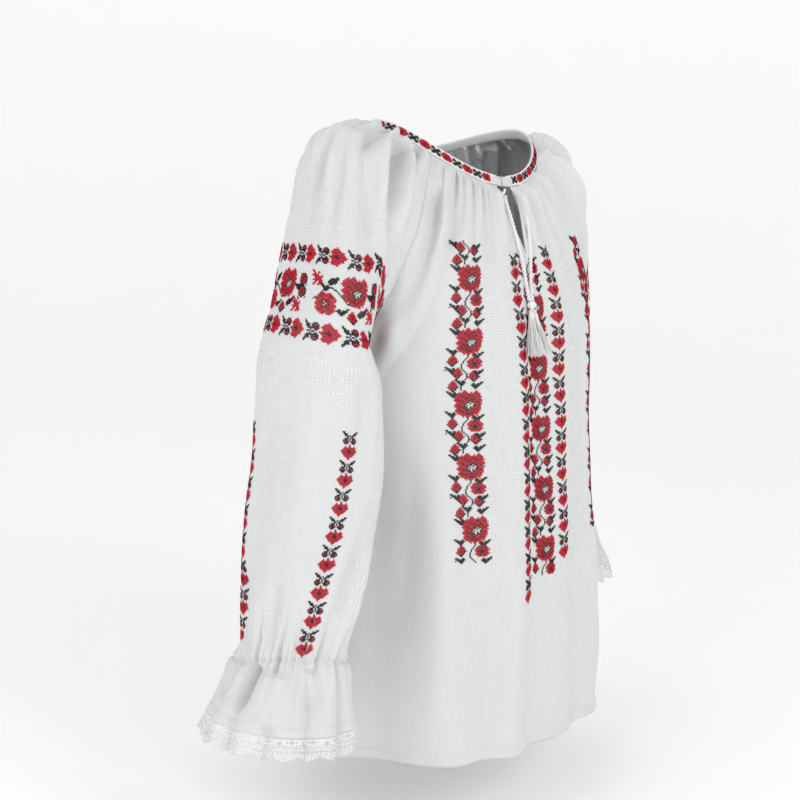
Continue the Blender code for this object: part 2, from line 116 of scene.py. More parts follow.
SLEEVE_SECTIONS = {
    "right": (
        (0.12, 0.238, -0.045, -0.238, 0.050, 0.062, 22.0, 26.0),
        (0.25, 0.240, -0.049, -0.285, 0.050, 0.065, 20.0, 12.0),
        (0.36, 0.242, -0.051, -0.325, 0.050, 0.066, 19.0, 8.0),
        (0.50, 0.252, -0.055, -0.375, 0.050, 0.066, 19.0, 6.0),
        (0.64, 0.268, -0.061, -0.430, 0.048, 0.061, 19.0, 5.0),
        (0.74, 0.277, -0.066, -0.466, 0.046, 0.0565, 19.0, 4.0),
        (0.80, 0.2865, -0.070, -0.497, 0.044, 0.0495, 19.0, 4.0),
        (0.86, 0.290, -0.070, -0.517, 0.050, 0.057, 19.0, 4.0),
        (1.00, 0.298, -0.069, -0.562, 0.062, 0.070, 19.0, 4.0),
    ),
    "left": (
        (0.12, 0.238, 0.038, -0.232, 0.050, 0.060, -14.0, 24.0),
        (0.25, 0.238, 0.046, -0.278, 0.050, 0.063, -14.0, 12.0),
        (0.36, 0.240, 0.050, -0.315, 0.050, 0.064, -14.0, 8.0),
        (0.50, 0.248, 0.054, -0.360, 0.050, 0.062, -14.0, 6.0),
        (0.64, 0.264, 0.054, -0.405, 0.048, 0.058, -12.0, 5.0),
        (0.74, 0.276, 0.050, -0.436, 0.046, 0.0555, -10.0, 4.0),
        (0.80, 0.287, 0.046, -0.463, 0.044, 0.0495, -8.0, 4.0),
        (0.86, 0.291, 0.044, -0.483, 0.050, 0.057, -8.0, 4.0),
        (1.00, 0.298, 0.041, -0.528, 0.062, 0.070, -8.0, 4.0),
    ),
}
SQUARE_WAY = 0.12
SIDES = {"right": -1.0, "left": 1.0}
FOLD_COLUMNS = ("x_top", "z_top", "x_foot", "z_foot", "width", "height")
FRONT_FOLDS = (
    (-0.036, -0.20, -0.060, -0.66, 0.024, 0.012),
    (-0.004, -0.17, -0.024, -0.66, 0.018, -0.005),
    (0.045, -0.14, 0.025, -0.66, 0.026, 0.003),
    (-0.098, -0.22, -0.098, -0.66, 0.020, -0.003),
    (-0.125, -0.34, -0.122, -0.66, 0.030, 0.012),
    (-0.170, -0.34, -0.190, -0.66, 0.026, -0.022),
    (0.125, -0.16, 0.120, -0.66, 0.036, 0.010),
    (0.070, -0.34, 0.070, -0.66, 0.016, -0.005),
    (0.160, -0.36, 0.165, -0.66, 0.018, 0.005),
)
BACK_FOLDS = (
    (-0.120, -0.24, -0.130, -0.66, 0.026, 0.006),
    (-0.060, -0.28, -0.065, -0.66, 0.024, -0.005),
    (0.000, -0.16, 0.004, -0.66, 0.030, 0.005),
    (0.065, -0.28, 0.070, -0.66, 0.024, -0.005),
    (0.125, -0.24, 0.135, -0.66, 0.026, 0.006),
)


def rows_at(table, columns, stations):
    """The named values of a table at each station: smooth curves through its rows."""
    rows = np.array(table, float)
    own = rows[:, 0]
    slopes = np.gradient(rows, own, axis=0)
    stations = np.asarray(stations, float)
    spot = np.clip(np.searchsorted(own, stations) - 1, 0, len(rows) - 2)
    step = (own[spot + 1] - own[spot])[..., None]
    s = (stations[..., None] - own[spot][..., None]) / step
    values = (
        (2 * s**3 - 3 * s**2 + 1) * rows[spot]
        + (s**3 - 2 * s**2 + s) * step * slopes[spot]
        + (3 * s**2 - 2 * s**3) * rows[spot + 1]
        + (s**3 - s**2) * step * slopes[spot + 1]
    )
    return dict(zip(columns, np.moveaxis(values, -1, 0)))


def stack(*parts):
    return np.stack(np.broadcast_arrays(*parts), -1)


def neck_points(turn):
    dip = np.where(np.cos(turn) > 0, NECK_FRONT_Z, NECK_BACK_Z)
    return stack(
        NECK_HALF_WIDTH * np.sin(turn),
        NECK_CENTRE_Y - NECK_HALF_DEPTH * np.cos(turn),
        dip * np.cos(turn) ** 2,
    )


def cap_arcs(name, share, swing):
    side = SIDES[name]
    row = rows_at(CAP_SECTIONS[name], CAP_COLUMNS, share)
    arc = np.radians(row["arc"])
    heading = np.radians(row["heading"])
    top = stack(side * row["top_x"], row["top_y"], row["top_z"])
    chord = stack(side * row["chord_x"], row["chord_y"], row["chord_z"])
    reach = (top - chord) / (1 - np.cos(arc))[..., None]
    along = stack(side * np.sin(heading), np.cos(heading), 0.0)
    turned = (arc * swing)[..., None]
    depth = row["half_depth"][..., None] * np.sin(turned)
    return top - reach + reach * np.cos(turned) + along * depth


def cap_points(name, share, swing):
    share, swing = np.broadcast_arrays(np.asarray(share, float), np.asarray(swing, float))
    turn = SIDES[name] * np.radians(90 + (90 - RAGLAN_TURN) * swing)
    ease = ((1 - share) ** 2)[..., None]
    start = cap_arcs(name, np.zeros_like(share), swing)
    return cap_arcs(name, share, swing) + ease * (neck_points(turn) - start)


def yoke_arcs(face, share, across):
    row = rows_at(YOKE_SECTIONS, YOKE_COLUMNS, share)
    swing = -1.0 if face == "front" else 1.0
    right = cap_points("right", share, swing)
    left = cap_points("left", share, swing)
    seam = np.where((across < 0)[..., None], right, left)
    turn = np.radians(row["turn"])
    middle = (np.cos(across * turn) - np.cos(turn)) / (1 - np.cos(turn))
    return stack(
        np.abs(seam[..., 0]) * np.sin(across * turn) / np.sin(turn),
        seam[..., 1] + (row[face + "_y"] - seam[..., 1]) * middle,
        seam[..., 2] + (row[face + "_z"] - seam[..., 2]) * middle,
    )


def body_forms(face, across, fall):
    across, fall = np.broadcast_arrays(np.asarray(across, float), np.asarray(fall, float))
    facing = -1.0 if face == "front" else 1.0
    share = np.clip(fall, 0, 1)
    turn = np.radians(RAGLAN_TURN) * across
    neck = neck_points(turn if face == "front" else math.pi - turn)
    ease = ((1 - share) ** 2)[..., None]
    yoke = yoke_arcs(face, share, across)
    yoke = yoke + ease * (neck - yoke_arcs(face, np.zeros_like(share), across))
    level = UNDERARM_Z + np.maximum(fall - 1, 0) * (HEM_Z - UNDERARM_Z)
    row = rows_at(BODY_SECTIONS, BODY_COLUMNS, -level)
    turn = across * math.pi / 2
    trunk = stack(
        row["half_width"] * np.sin(turn),
        row["middle_y"] + facing * row[face + "_depth"] * np.cos(turn),
        level,
    )
    step = trunk - yoke_arcs(face, np.ones_like(share), across)
    yoke = yoke + step * (share**8)[..., None]
    return np.where((fall <= 1)[..., None], yoke, trunk)


def fold_heights(folds, x, z):
    lift = np.zeros_like(x)
    for fold in folds:
        fold = dict(zip(FOLD_COLUMNS, fold))
        along = (z - fold["z_top"]) / (fold["z_foot"] - fold["z_top"])
        middle = fold["x_top"] + along * (fold["x_foot"] - fold["x_top"])
        fade = np.clip(along / 0.3 + 0.5, 0, 1) * np.clip((1.15 - along) / 0.15, 0, 1)
        lift += fold["height"] * fade * np.exp(-(((x - middle) / fold["width"]) ** 2))
    return lift


def sleeve_table(name):
    last = dict(zip(CAP_COLUMNS, CAP_SECTIONS[name][-1]))
    top = np.array((last["top_x"], last["top_y"], last["top_z"]))
    foot = np.array((last["chord_x"], last["chord_y"], last["chord_z"]))
    centre, away = (top + foot) / 2, (top - foot) / 2
    flat = math.hypot(away[0], away[1])
    first = (
        0.0,
        *centre,
        math.hypot(flat, away[2]),
        last["half_depth"],
        math.degrees(math.atan2(-away[1], away[0])),
        math.degrees(math.atan2(away[2], flat)),
    )
    return (first, *SLEEVE_SECTIONS[name])


def arm_points(name, way, around):
    side = SIDES[name]
    row = rows_at(sleeve_table(name), SLEEVE_COLUMNS, way)
    heading = np.radians(row["heading"])
    lift = np.radians(row["lift"])
    away = stack(
        side * np.cos(heading) * np.cos(lift), -np.sin(heading) * np.cos(lift), np.sin(lift)
    )
    along = stack(side * np.sin(heading), np.cos(heading), 0.0)
    first = math.radians(CAP_SECTIONS[name][-1][CAP_COLUMNS.index("heading")])
    start = np.array((side * math.sin(first), math.cos(first), 0.0))
    blend = np.clip(way / SQUARE_WAY, 0, 1)[..., None]
    along = start + (along - start) * blend
    centre = stack(side * row["x"], row["y"], row["z"])
    turn = (around * math.pi)[..., None]
    thick, wide = row["thick"][..., None], row["wide"][..., None]
    return centre + away * thick * np.cos(turn) + along * wide * np.sin(turn)


def sleeve_forms(name, around, down):
    around, down = np.broadcast_arrays(np.asarray(around, float), np.asarray(down, float))
    cap = cap_points(name, np.clip(down, 0, 1), around)
    arm = arm_points(name, np.clip(down - 1, 0, 1), around)
    return np.where((down <= 1)[..., None], cap, arm)


# Gathers, creases and other small shapes of the cloth
# Each gather row: ripples in one unit of across or around, height, reach below the seam
FRONT_GATHERS = (
    (3.1, 0.0020, 0.120, 0.4),
    (5.3, 0.0018, 0.080, 1.9),
    (8.7, 0.0013, 0.045, 0.9),
    (12.9, 0.0007, 0.024, 2.6),
)
BACK_GATHERS = (
    (2.7, 0.0018, 0.110, 1.1),
    (4.9, 0.0017, 0.080, 0.2),
    (8.1, 0.0013, 0.045, 2.3),
    (12.3, 0.0007, 0.024, 0.8),
)
CAP_GATHERS = (
    (2.3, 0.0022, 0.130, 0.7),
    (4.1, 0.0018, 0.080, 2.2),
    (6.9, 0.0014, 0.045, 1.3),
    (9.7, 0.0007, 0.024, 0.1),
)
# Ripples round a sleeve near its wrist: number in one unit of around, height, place
# below the gather line, reach above it, reach below it
WRIST_RIPPLES = (
    (21.0, 0.0019, 0.000, 0.045, 0.050, 0.3),
    (13.0, 0.0022, 0.000, 0.090, 0.080, 1.1),
    (7.5, 0.0028, 0.030, 0.070, 0.120, 2.3),
    (5.5, 0.0050, 0.200, 0.110, 0.300, 2.0),
)
# The gather line's place down the sleeve is a wave round it
WRIST_DOWN = 1.828
WRIST_WAVE = 0.034
WRIST_TURN = 0.20

GATHER_RISE = 0.010
CREASE_PARTS = 12
CREASE_DEPTH = 2.6
GATHER_DEPTH = 2.5
BREATH = 0.0009
SEAM_DIP = 0.0002
SEAM_WIDTH = 0.0022
HEM_HEIGHT = 0.0105
HEM_RISE = 0.00035
HEM_GROOVE = 0.0009
GATHER_LINE = 0.0030
SLEEVE_DROP = 0.335

# Creases: height, width, fade at the start, fade at the end, route on the panel
FRONT_CREASES = (
    (-0.0056, 0.0100, 0.2, 0.5, ((-0.93, 0.16), (-0.88, 0.40), (-0.86, 0.60), (-0.82, 0.80))),
    (0.0030, 0.0100, 0.3, 0.5, ((-0.78, 0.16), (-0.76, 0.34), (-0.80, 0.53), (-0.78, 0.66))),
    (-0.0024, 0.0090, 0.3, 0.5, ((-0.66, 0.10), (-0.66, 0.30), (-0.72, 0.50), (-0.74, 0.62))),
    (0.0026, 0.0100, 0.4, 0.5, ((-0.92, 0.72), (-0.82, 0.82), (-0.68, 0.95))),
    (-0.0026, 0.0080, 0.4, 0.5, ((-0.95, 0.80), (-0.84, 0.90), (-0.72, 1.02))),
    (0.0026, 0.0100, 0.4, 0.5, ((-0.96, 0.90), (-0.84, 0.99), (-0.70, 1.10))),
    (-0.0022, 0.0090, 0.4, 0.5, ((-0.95, 0.99), (-0.84, 1.08), (-0.72, 1.22))),
    (-0.0018, 0.0130, 0.3, 0.5, ((-0.56, 1.15), (-0.55, 1.40), (-0.58, 1.75))),
    (0.0020, 0.0150, 0.3, 0.3, ((-0.46, 1.30), (-0.45, 1.60), (-0.46, 1.98))),
    (-0.0020, 0.0120, 0.3, 0.3, ((-0.22, 1.45), (-0.24, 1.70), (-0.26, 1.98))),
    (-0.0022, 0.0090, 0.2, 0.5, ((0.42, 0.12), (0.44, 0.35), (0.50, 0.62))),
    (0.0022, 0.0090, 0.2, 0.5, ((0.60, 0.10), (0.62, 0.30), (0.66, 0.60))),
    (-0.0034, 0.0110, 0.3, 0.5, ((0.90, 0.20), (0.84, 0.42), (0.80, 0.70))),
    (0.0024, 0.0100, 0.4, 0.5, ((0.93, 0.80), (0.80, 0.92), (0.66, 1.04))),
    (-0.0024, 0.0090, 0.4, 0.5, ((0.95, 0.92), (0.82, 1.02), (0.70, 1.14))),
    (0.0018, 0.0160, 0.4, 0.3, ((0.40, 1.30), (0.42, 1.60), (0.42, 1.98))),
)
BACK_CREASES = (
    (-0.0034, 0.0110, 0.3, 0.5, ((-0.91, 0.20), (-0.85, 0.45), (-0.82, 0.75))),
    (0.0026, 0.0100, 0.3, 0.5, ((-0.76, 0.15), (-0.76, 0.40), (-0.78, 0.62))),
    (0.0024, 0.0100, 0.4, 0.5, ((-0.94, 0.84), (-0.80, 0.96), (-0.66, 1.08))),
    (-0.0022, 0.0090, 0.4, 0.5, ((-0.95, 0.96), (-0.82, 1.06), (-0.70, 1.20))),
    (-0.0020, 0.0130, 0.3, 0.5, ((-0.40, 0.14), (-0.38, 0.45), (-0.36, 0.90))),
    (0.0022, 0.0150, 0.3, 0.3, ((-0.12, 0.30), (-0.10, 1.00), (-0.12, 1.98))),
    (-0.0020, 0.0120, 0.3, 0.4, ((0.16, 0.14), (0.16, 0.60), (0.20, 1.20))),
    (0.0020, 0.0130, 0.3, 0.4, ((0.44, 0.12), (0.44, 0.60), (0.46, 1.10))),
    (-0.0034, 0.0110, 0.3, 0.5, ((0.90, 0.20), (0.84, 0.45), (0.80, 0.75))),
    (0.0024, 0.0100, 0.4, 0.5, ((0.94, 0.82), (0.80, 0.95), (0.68, 1.10))),
    (-0.0022, 0.0090, 0.4, 0.5, ((0.95, 0.95), (0.82, 1.05), (0.70, 1.18))),
    (-0.0018, 0.0160, 0.4, 0.3, ((0.40, 1.30), (0.40, 1.60), (0.42, 1.98))),
)
SLEEVE_CREASES = {
    "right": (
        (
            -0.0034, 0.0060, 0.2, 0.4,
            ((0.00, 0.42), (-0.01, 0.56), (0.03, 0.66), (0.06, 0.74), (0.045, 0.82)),
        ),
        (
            0.0032, 0.0090, 0.2, 0.5,
            ((-0.05, 0.36), (-0.06, 0.55), (-0.04, 0.72), (-0.03, 0.84)),
        ),
        (
            -0.0024, 0.0050, 0.2, 0.5,
            ((-0.10, 0.44), (-0.13, 0.60), (-0.12, 0.74), (-0.10, 0.84), (-0.13, 0.94)),
        ),
        (0.0026, 0.0100, 0.3, 0.5, ((0.12, 0.36), (0.12, 0.58), (0.16, 0.80))),
        (-0.0028, 0.0080, 0.1, 0.5, ((-0.24, 0.12), (-0.20, 0.32), (-0.12, 0.50))),
        (0.0026, 0.0080, 0.1, 0.5, ((-0.32, 0.12), (-0.28, 0.34), (-0.22, 0.52))),
        (-0.0028, 0.0070, 0.1, 0.5, ((-0.42, 0.14), (-0.36, 0.34), (-0.31, 0.54))),
        (
            0.0048, 0.0090, 0.3, 0.4,
            ((-0.45, 0.26), (-0.48, 0.48), (-0.52, 0.60), (-0.52, 0.72)),
        ),
        (
            -0.0042, 0.0090, 0.3, 0.4,
            ((-0.40, 0.46), (-0.45, 0.62), (-0.44, 0.76), (-0.46, 0.88)),
        ),
        (
            -0.0068, 0.0085, 0.1, 0.4,
            ((-0.59, 0.06), (-0.62, 0.29), (-0.63, 0.44), (-0.66, 0.60), (-0.68, 0.74)),
        ),
        (
            0.0052, 0.0095, 0.2, 0.4,
            ((-0.76, 0.10), (-0.78, 0.32), (-0.80, 0.52), (-0.82, 0.70)),
        ),
        (-0.0026, 0.0080, 0.3, 0.5, ((-0.86, 0.30), (-0.86, 0.50), (-0.88, 0.66))),
        (-0.0020, 0.0120, 0.4, 0.5, ((-0.40, 1.05), (-0.36, 1.20), (-0.34, 1.40))),
        (0.0020, 0.0160, 0.4, 0.5, ((-0.10, 1.10), (-0.06, 1.30), (-0.05, 1.60))),
        (-0.0022, 0.0120, 0.4, 0.4, ((0.22, 1.20), (0.20, 1.45), (0.18, 1.72))),
        (0.0024, 0.0110, 0.4, 0.3, ((-0.34, 1.40), (-0.30, 1.60), (-0.24, 1.78))),
        (-0.0026, 0.0090, 0.4, 0.3, ((-0.42, 1.46), (-0.36, 1.62), (-0.30, 1.79))),
        (0.0026, 0.0100, 0.4, 0.3, ((-0.52, 1.50), (-0.46, 1.66), (-0.38, 1.79))),
        (-0.0026, 0.0090, 0.4, 0.3, ((0.02, 1.60), (0.02, 1.70), (0.03, 1.80))),
        (-0.0026, 0.0090, 0.4, 0.3, ((0.28, 1.58), (0.27, 1.70), (0.25, 1.80))),
        (0.0022, 0.0110, 0.3, 0.5, ((0.50, 0.20), (0.50, 0.50), (0.54, 0.80))),
        (-0.0030, 0.0090, 0.2, 0.5, ((0.62, 0.10), (0.64, 0.36), (0.66, 0.66))),
        (0.0026, 0.0110, 0.4, 0.5, ((0.80, 0.30), (0.82, 0.55), (0.84, 0.85))),
        (0.0024, 0.0100, 0.4, 0.4, ((0.90, 1.02), (0.70, 1.10), (0.50, 1.20))),
        (-0.0024, 0.0090, 0.4, 0.4, ((0.92, 1.10), (0.74, 1.18), (0.56, 1.30))),
        (-0.0060, 0.0100, 0.1, 0.4, ((0.10, 1.81), (0.11, 1.88), (0.13, 1.96))),
        (0.0040, 0.0110, 0.2, 0.2, ((-0.06, 1.82), (-0.06, 1.90), (-0.06, 1.99))),
        (-0.0040, 0.0080, 0.1, 0.4, ((0.26, 1.81), (0.28, 1.88), (0.30, 1.95))),
        (-0.0036, 0.0080, 0.1, 0.4, ((-0.24, 1.81), (-0.25, 1.88), (-0.26, 1.96))),
    ),
    "left": (
        (-0.0030, 0.0070, 0.2, 0.4, ((0.06, 0.40), (0.04, 0.56), (0.02, 0.74), (0.04, 0.86))),
        (0.0030, 0.0090, 0.2, 0.5, ((-0.06, 0.36), (-0.08, 0.55), (-0.06, 0.80))),
        (-0.0026, 0.0070, 0.1, 0.5, ((-0.22, 0.12), (-0.22, 0.34), (-0.18, 0.54))),
        (0.0030, 0.0090, 0.1, 0.5, ((-0.36, 0.12), (-0.36, 0.36), (-0.36, 0.60))),
        (-0.0036, 0.0080, 0.2, 0.4, ((-0.50, 0.14), (-0.52, 0.36), (-0.54, 0.62))),
        (0.0034, 0.0100, 0.2, 0.4, ((-0.68, 0.12), (-0.70, 0.34), (-0.72, 0.60))),
        (-0.0040, 0.0080, 0.1, 0.4, ((0.56, 0.08), (0.60, 0.30), (0.62, 0.60))),
        (0.0036, 0.0100, 0.2, 0.4, ((0.42, 0.20), (0.44, 0.44), (0.46, 0.70))),
        (0.0030, 0.0100, 0.2, 0.4, ((0.74, 0.12), (0.76, 0.34), (0.78, 0.64))),
        (-0.0026, 0.0070, 0.1, 0.5, ((0.28, 0.12), (0.26, 0.34), (0.20, 0.54))),
        (0.0024, 0.0100, 0.4, 0.4, ((-0.90, 1.02), (-0.70, 1.12), (-0.50, 1.22))),
        (-0.0024, 0.0090, 0.4, 0.4, ((-0.92, 1.10), (-0.74, 1.20), (-0.56, 1.32))),
        (-0.0020, 0.0120, 0.4, 0.5, ((0.36, 1.10), (0.34, 1.30), (0.32, 1.50))),
        (0.0024, 0.0110, 0.4, 0.3, ((0.10, 1.40), (0.12, 1.60), (0.14, 1.78))),
        (-0.0026, 0.0090, 0.4, 0.3, ((-0.20, 1.50), (-0.18, 1.66), (-0.16, 1.79))),
        (0.0026, 0.0100, 0.4, 0.3, ((-0.42, 1.50), (-0.38, 1.66), (-0.32, 1.79))),
        (-0.0050, 0.0090, 0.1, 0.4, ((-0.12, 1.81), (-0.13, 1.88), (-0.14, 1.96))),
        (0.0036, 0.0100, 0.2, 0.2, ((0.06, 1.82), (0.07, 1.90), (0.07, 1.99))),
        (-0.0040, 0.0080, 0.1, 0.4, ((0.24, 1.81), (0.26, 1.88), (0.28, 1.96))),
        (-0.0036, 0.0080, 0.1, 0.4, ((-0.40, 1.81), (-0.42, 1.88), (-0.44, 1.96))),
    ),
}


def smooth_route(route, count):
    """Points along a smooth curve through a route's own points."""
    route = np.array(route, float)
    lengths = np.linalg.norm(np.diff(route, axis=0), axis=1)
    table = np.column_stack((np.concatenate(([0.0], np.cumsum(lengths))), route))
    names = [str(axis) for axis in range(table.shape[1])]
    rows = rows_at(table, names, np.linspace(0, table[-1, 0], count))
    return np.stack([rows[name] for name in names[1:]], -1)


def eased(value):
    value = np.clip(value, 0, 1)
    return value * value * (3 - 2 * value)


def crease_heights(points, creases, place):
    """How far the creases lift or sink the cloth at its points."""
    flat = points.reshape(-1, 3)
    lift = np.zeros(len(flat))
    for height, width, fade_in, fade_out, route in creases:
        across, down = smooth_route(route, CREASE_PARTS).T
        line = place(across, down)
        margin = 3 * width
        near = np.flatnonzero(
            np.all((flat > line.min(0) - margin) & (flat < line.max(0) + margin), axis=1)
        )
        if not len(near):
            continue
        close = np.full(len(near), np.inf)
        best = np.zeros(len(near))
        for part in range(len(line) - 1):
            step = line[part + 1] - line[part]
            share = np.clip((flat[near] - line[part]) @ step / (step @ step), 0, 1)
            gap = np.linalg.norm(flat[near] - line[part] - share[:, None] * step, axis=1)
            nearer = gap < close
            close[nearer] = gap[nearer]
            best[nearer] = (part + share[nearer]) / (len(line) - 1)
        fade = eased(best / fade_in) * eased((1 - best) / fade_out)
        lift[near] += height * fade * np.exp(-((close / width) ** 2))
    return CREASE_DEPTH * lift.reshape(points.shape[:-1])


def ripple(count, along, phase):
    """Rounded ridges with sharp valleys between them, from -1 to 1."""
    return 2 * np.abs(np.sin(math.pi * count * along + phase)) ** 0.8 - 1


def gather_heights(gathers, along, drop):
    """Ripples that fan out from a gathered seam and fade below it."""
    rise = 0.12 + 0.88 * eased(drop / GATHER_RISE)
    lift = np.zeros_like(drop)
    for count, height, reach, phase in gathers:
        lift = lift + height * ripple(count, along, phase) * np.exp(-drop / reach)
    return GATHER_DEPTH * lift * rise


def facing_out(place, across, down):
    """The unit normals of a panel that place draws, found by small steps."""
    small = 1e-3
    side = place(across + small, down) - place(across - small, down)
    steep = place(across, down + small) - place(across, down - small)
    normals = np.cross(side, steep)
    return normals / np.maximum(np.linalg.norm(normals, axis=-1, keepdims=True), 1e-12)


def body_sheet(face, across, fall):
    """A point of the finished front or back."""
    across, fall = np.broadcast_arrays(np.asarray(across, float), np.asarray(fall, float))
    base = body_forms(face, across, fall)
    facing = -1.0 if face == "front" else 1.0
    out = stack(np.sin(across * 1.2), facing * np.cos(across * 1.2), 0.0)
    folds = FRONT_FOLDS if face == "front" else BACK_FOLDS
    creases = FRONT_CREASES if face == "front" else BACK_CREASES
    gathers = FRONT_GATHERS if face == "front" else BACK_GATHERS
    drop = np.linalg.norm(base - body_forms(face, across, np.zeros_like(fall)), axis=-1)
    lift = fold_heights(folds, base[..., 0], base[..., 2]) * (1 - across**4)
    lift = lift + gather_heights(gathers, across, drop) * (1 - across**12)
    seams = 1 - np.abs(across) ** 16
    lift = lift + seams * crease_heights(
        base, creases, lambda side, down: body_forms(face, side, down)
    )
    lift = lift + BREATH * np.sin(base[..., 0] * 61 + base[..., 2] * 23) * np.sin(
        base[..., 2] * 37 - base[..., 0] * 17
    ) * seams
    away = np.linalg.norm(base - body_forms(face, np.sign(across), fall), axis=-1)
    lift = lift - SEAM_DIP * np.exp(-((away / SEAM_WIDTH) ** 2))
    hem = (base[..., 2] - HEM_Z) - HEM_HEIGHT
    lift = lift + HEM_RISE * eased(0.5 - hem / 0.0012)
    lift = lift - HEM_GROOVE * np.exp(-((hem / 0.0012) ** 2))
    return base + out * lift[..., None]


def sleeve_sheet(name, around, down):
    """A point of a finished sleeve."""
    around, down = np.broadcast_arrays(
        np.asarray(around, float), np.asarray(down, float)
    )
    side = SIDES[name]
    base = sleeve_forms(name, around, down)
    out = facing_out(lambda u, v: sleeve_forms(name, u, v), around, np.clip(down, 0.004, 1.996))
    out = out * -side
    neckline = sleeve_forms(name, around, np.zeros_like(down))
    drop = np.where(down < 1.2, np.linalg.norm(base - neckline, axis=-1), 1.0)
    closed = np.where(down < 1, 1 - around**12, 1.0)
    lift = gather_heights(CAP_GATHERS, around * side, drop) * closed
    creases = SLEEVE_CREASES[name]
    lift = lift + closed * crease_heights(
        base, creases, lambda u, v: sleeve_forms(name, u, v)
    )
    waist = WRIST_DOWN - WRIST_WAVE * np.cos(math.pi * (around * -side + WRIST_TURN))
    for count, height, spot, above, below, phase in WRIST_RIPPLES:
        gap = down - waist - spot
        reach = np.where(gap < 0, above, below)
        wave = height * ripple(count, around * side, phase)
        lift = lift + wave * np.exp(-((gap / reach) ** 2))
    breath = BREATH * np.sin(around * 9 + down * 7) * np.sin(down * 11 - around * 5)
    lift = lift + breath * closed
    lift = lift - GATHER_LINE * np.exp(-(((down - waist) / 0.0055) ** 2))
    edge = sleeve_forms(name, np.sign(around), down)
    away = np.linalg.norm(base - edge, axis=-1)
    lift = lift - SEAM_DIP * np.exp(-((away / SEAM_WIDTH) ** 2)) * np.where(down < 1, 1.0, 0.4)
    hem = (2.0 - down) * SLEEVE_DROP - HEM_HEIGHT * 0.9
    lift = lift + HEM_RISE * eased(0.5 - hem / 0.0012)
    lift = lift - HEM_GROOVE * np.exp(-((hem / 0.0012) ** 2))
    return base + out * lift[..., None]


# Neckband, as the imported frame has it
BAND_HEIGHT = 0.0105
BAND_THICKNESS = 0.0024
BAND_LEAN = 0.35
BAND_END_X = -0.006
BAND_END_GAP = 0.0016
BAND_PLAIN = 0.017

# Cords, knot and tassels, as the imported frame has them
CORD_ROUTES = {
    "right": (
        (-0.0090, -0.0812, -0.0560),
        (-0.0115, -0.0859, -0.0640),
        (-0.0125, -0.0926, -0.0760),
        (-0.0125, -0.0989, -0.0900),
        (-0.0120, -0.1055, -0.1060),
        (-0.0115, -0.1111, -0.1220),
        (-0.0112, -0.1162, -0.1380),
        (-0.0112, -0.1210, -0.1540),
        (-0.0116, -0.1257, -0.1670),
    ),
    "left": (
        (0.0158, -0.0826, -0.0555),
        (0.0165, -0.0860, -0.0620),
        (0.0165, -0.0906, -0.0720),
        (0.0150, -0.0971, -0.0860),
        (0.0110, -0.1040, -0.1020),
        (0.0060, -0.1103, -0.1200),
        (0.0010, -0.1154, -0.1380),
        (-0.0035, -0.1205, -0.1540),
        (-0.0068, -0.1258, -0.1674),
    ),
}
KNOT_CENTRE = (-0.0092, -0.1272, -0.1717)
KNOT_RADIUS = 0.0052
TASSEL_LENGTH = 0.050
TASSEL_FOOT_RADIUS = 0.0072
TASSEL_TOPS = {"right": (-0.0118, -0.1280, -0.1763), "left": (-0.0066, -0.1278, -0.1763)}
TASSEL_SWINGS = {"right": (-18.0, 10.0, 0.0), "left": (-12.5, -12.0, 0.0)}
LACE_DROP = 0.023


class IeCloth(bpy.types.PropertyGroup):
    wall: FloatProperty(
        name="Cloth thickness",
        description="Thickness of the cotton",
        default=0.0009,
        min=0.0003,
        max=0.0012,
        subtype="DISTANCE",
        unit="LENGTH",
    )
    tint: FloatVectorProperty(
        name="Cotton",
        description="Colour of the undyed cotton",
        default=(0.755, 0.765, 0.765),
        size=3,
        min=0.0,
        max=1.0,
        subtype="COLOR",
    )
    lace_tint: FloatVectorProperty(
        name="Lace",
        description="Colour of the lace and the cord",
        default=(0.84, 0.84, 0.83),
        size=3,
        min=0.0,
        max=1.0,
        subtype="COLOR",
    )


class IeStitches(bpy.types.PropertyGroup):
    cell: FloatProperty(
        name="Stitch size",
        description="Width of one cross-stitch",
        default=0.00156,
        min=0.001,
        max=0.003,
        subtype="DISTANCE",
        unit="LENGTH",
    )
    red: FloatVectorProperty(
        name="Red thread",
        description="Colour of the roses",
        default=(0.62, 0.010, 0.035),
        size=3,
        min=0.0,
        max=1.0,
        subtype="COLOR",
    )
    wine: FloatVectorProperty(
        name="Wine thread",
        description="Colour of the petals' outlines",
        default=(0.10, 0.004, 0.012),
        size=3,
        min=0.0,
        max=1.0,
        subtype="COLOR",
    )
    black: FloatVectorProperty(
        name="Black-green thread",
        description="Colour of the leaves and stems",
        default=(0.010, 0.016, 0.014),
        size=3,
        min=0.0,
        max=1.0,
        subtype="COLOR",
    )


class IeStudio(bpy.types.PropertyGroup):
    key: FloatProperty(
        name="Key light",
        description="Power of the large light at the front",
        default=28.0,
        min=0.0,
        unit="POWER",
    )
    fill: FloatProperty(
        name="Fill light",
        description="Power of the light at the side",
        default=6.5,
        min=0.0,
        unit="POWER",
    )
    sky: FloatProperty(
        name="Surround",
        description="Brightness of the pale surround",
        default=0.26,
        min=0.0,
    )


def link(thing):
    bpy.context.scene.collection.objects.link(thing)
    return thing


def quads(rows, cols, closed=False):
    """Corner numbers of a grid's cells."""
    row, col = np.meshgrid(
        np.arange(rows - 1), np.arange(cols if closed else cols - 1), indexing="ij"
    )
    after = (col + 1) % cols
    here, below = row * cols, (row + 1) * cols
    return np.stack((here + col, here + after, below + after, below + col), -1).reshape(-1, 4)


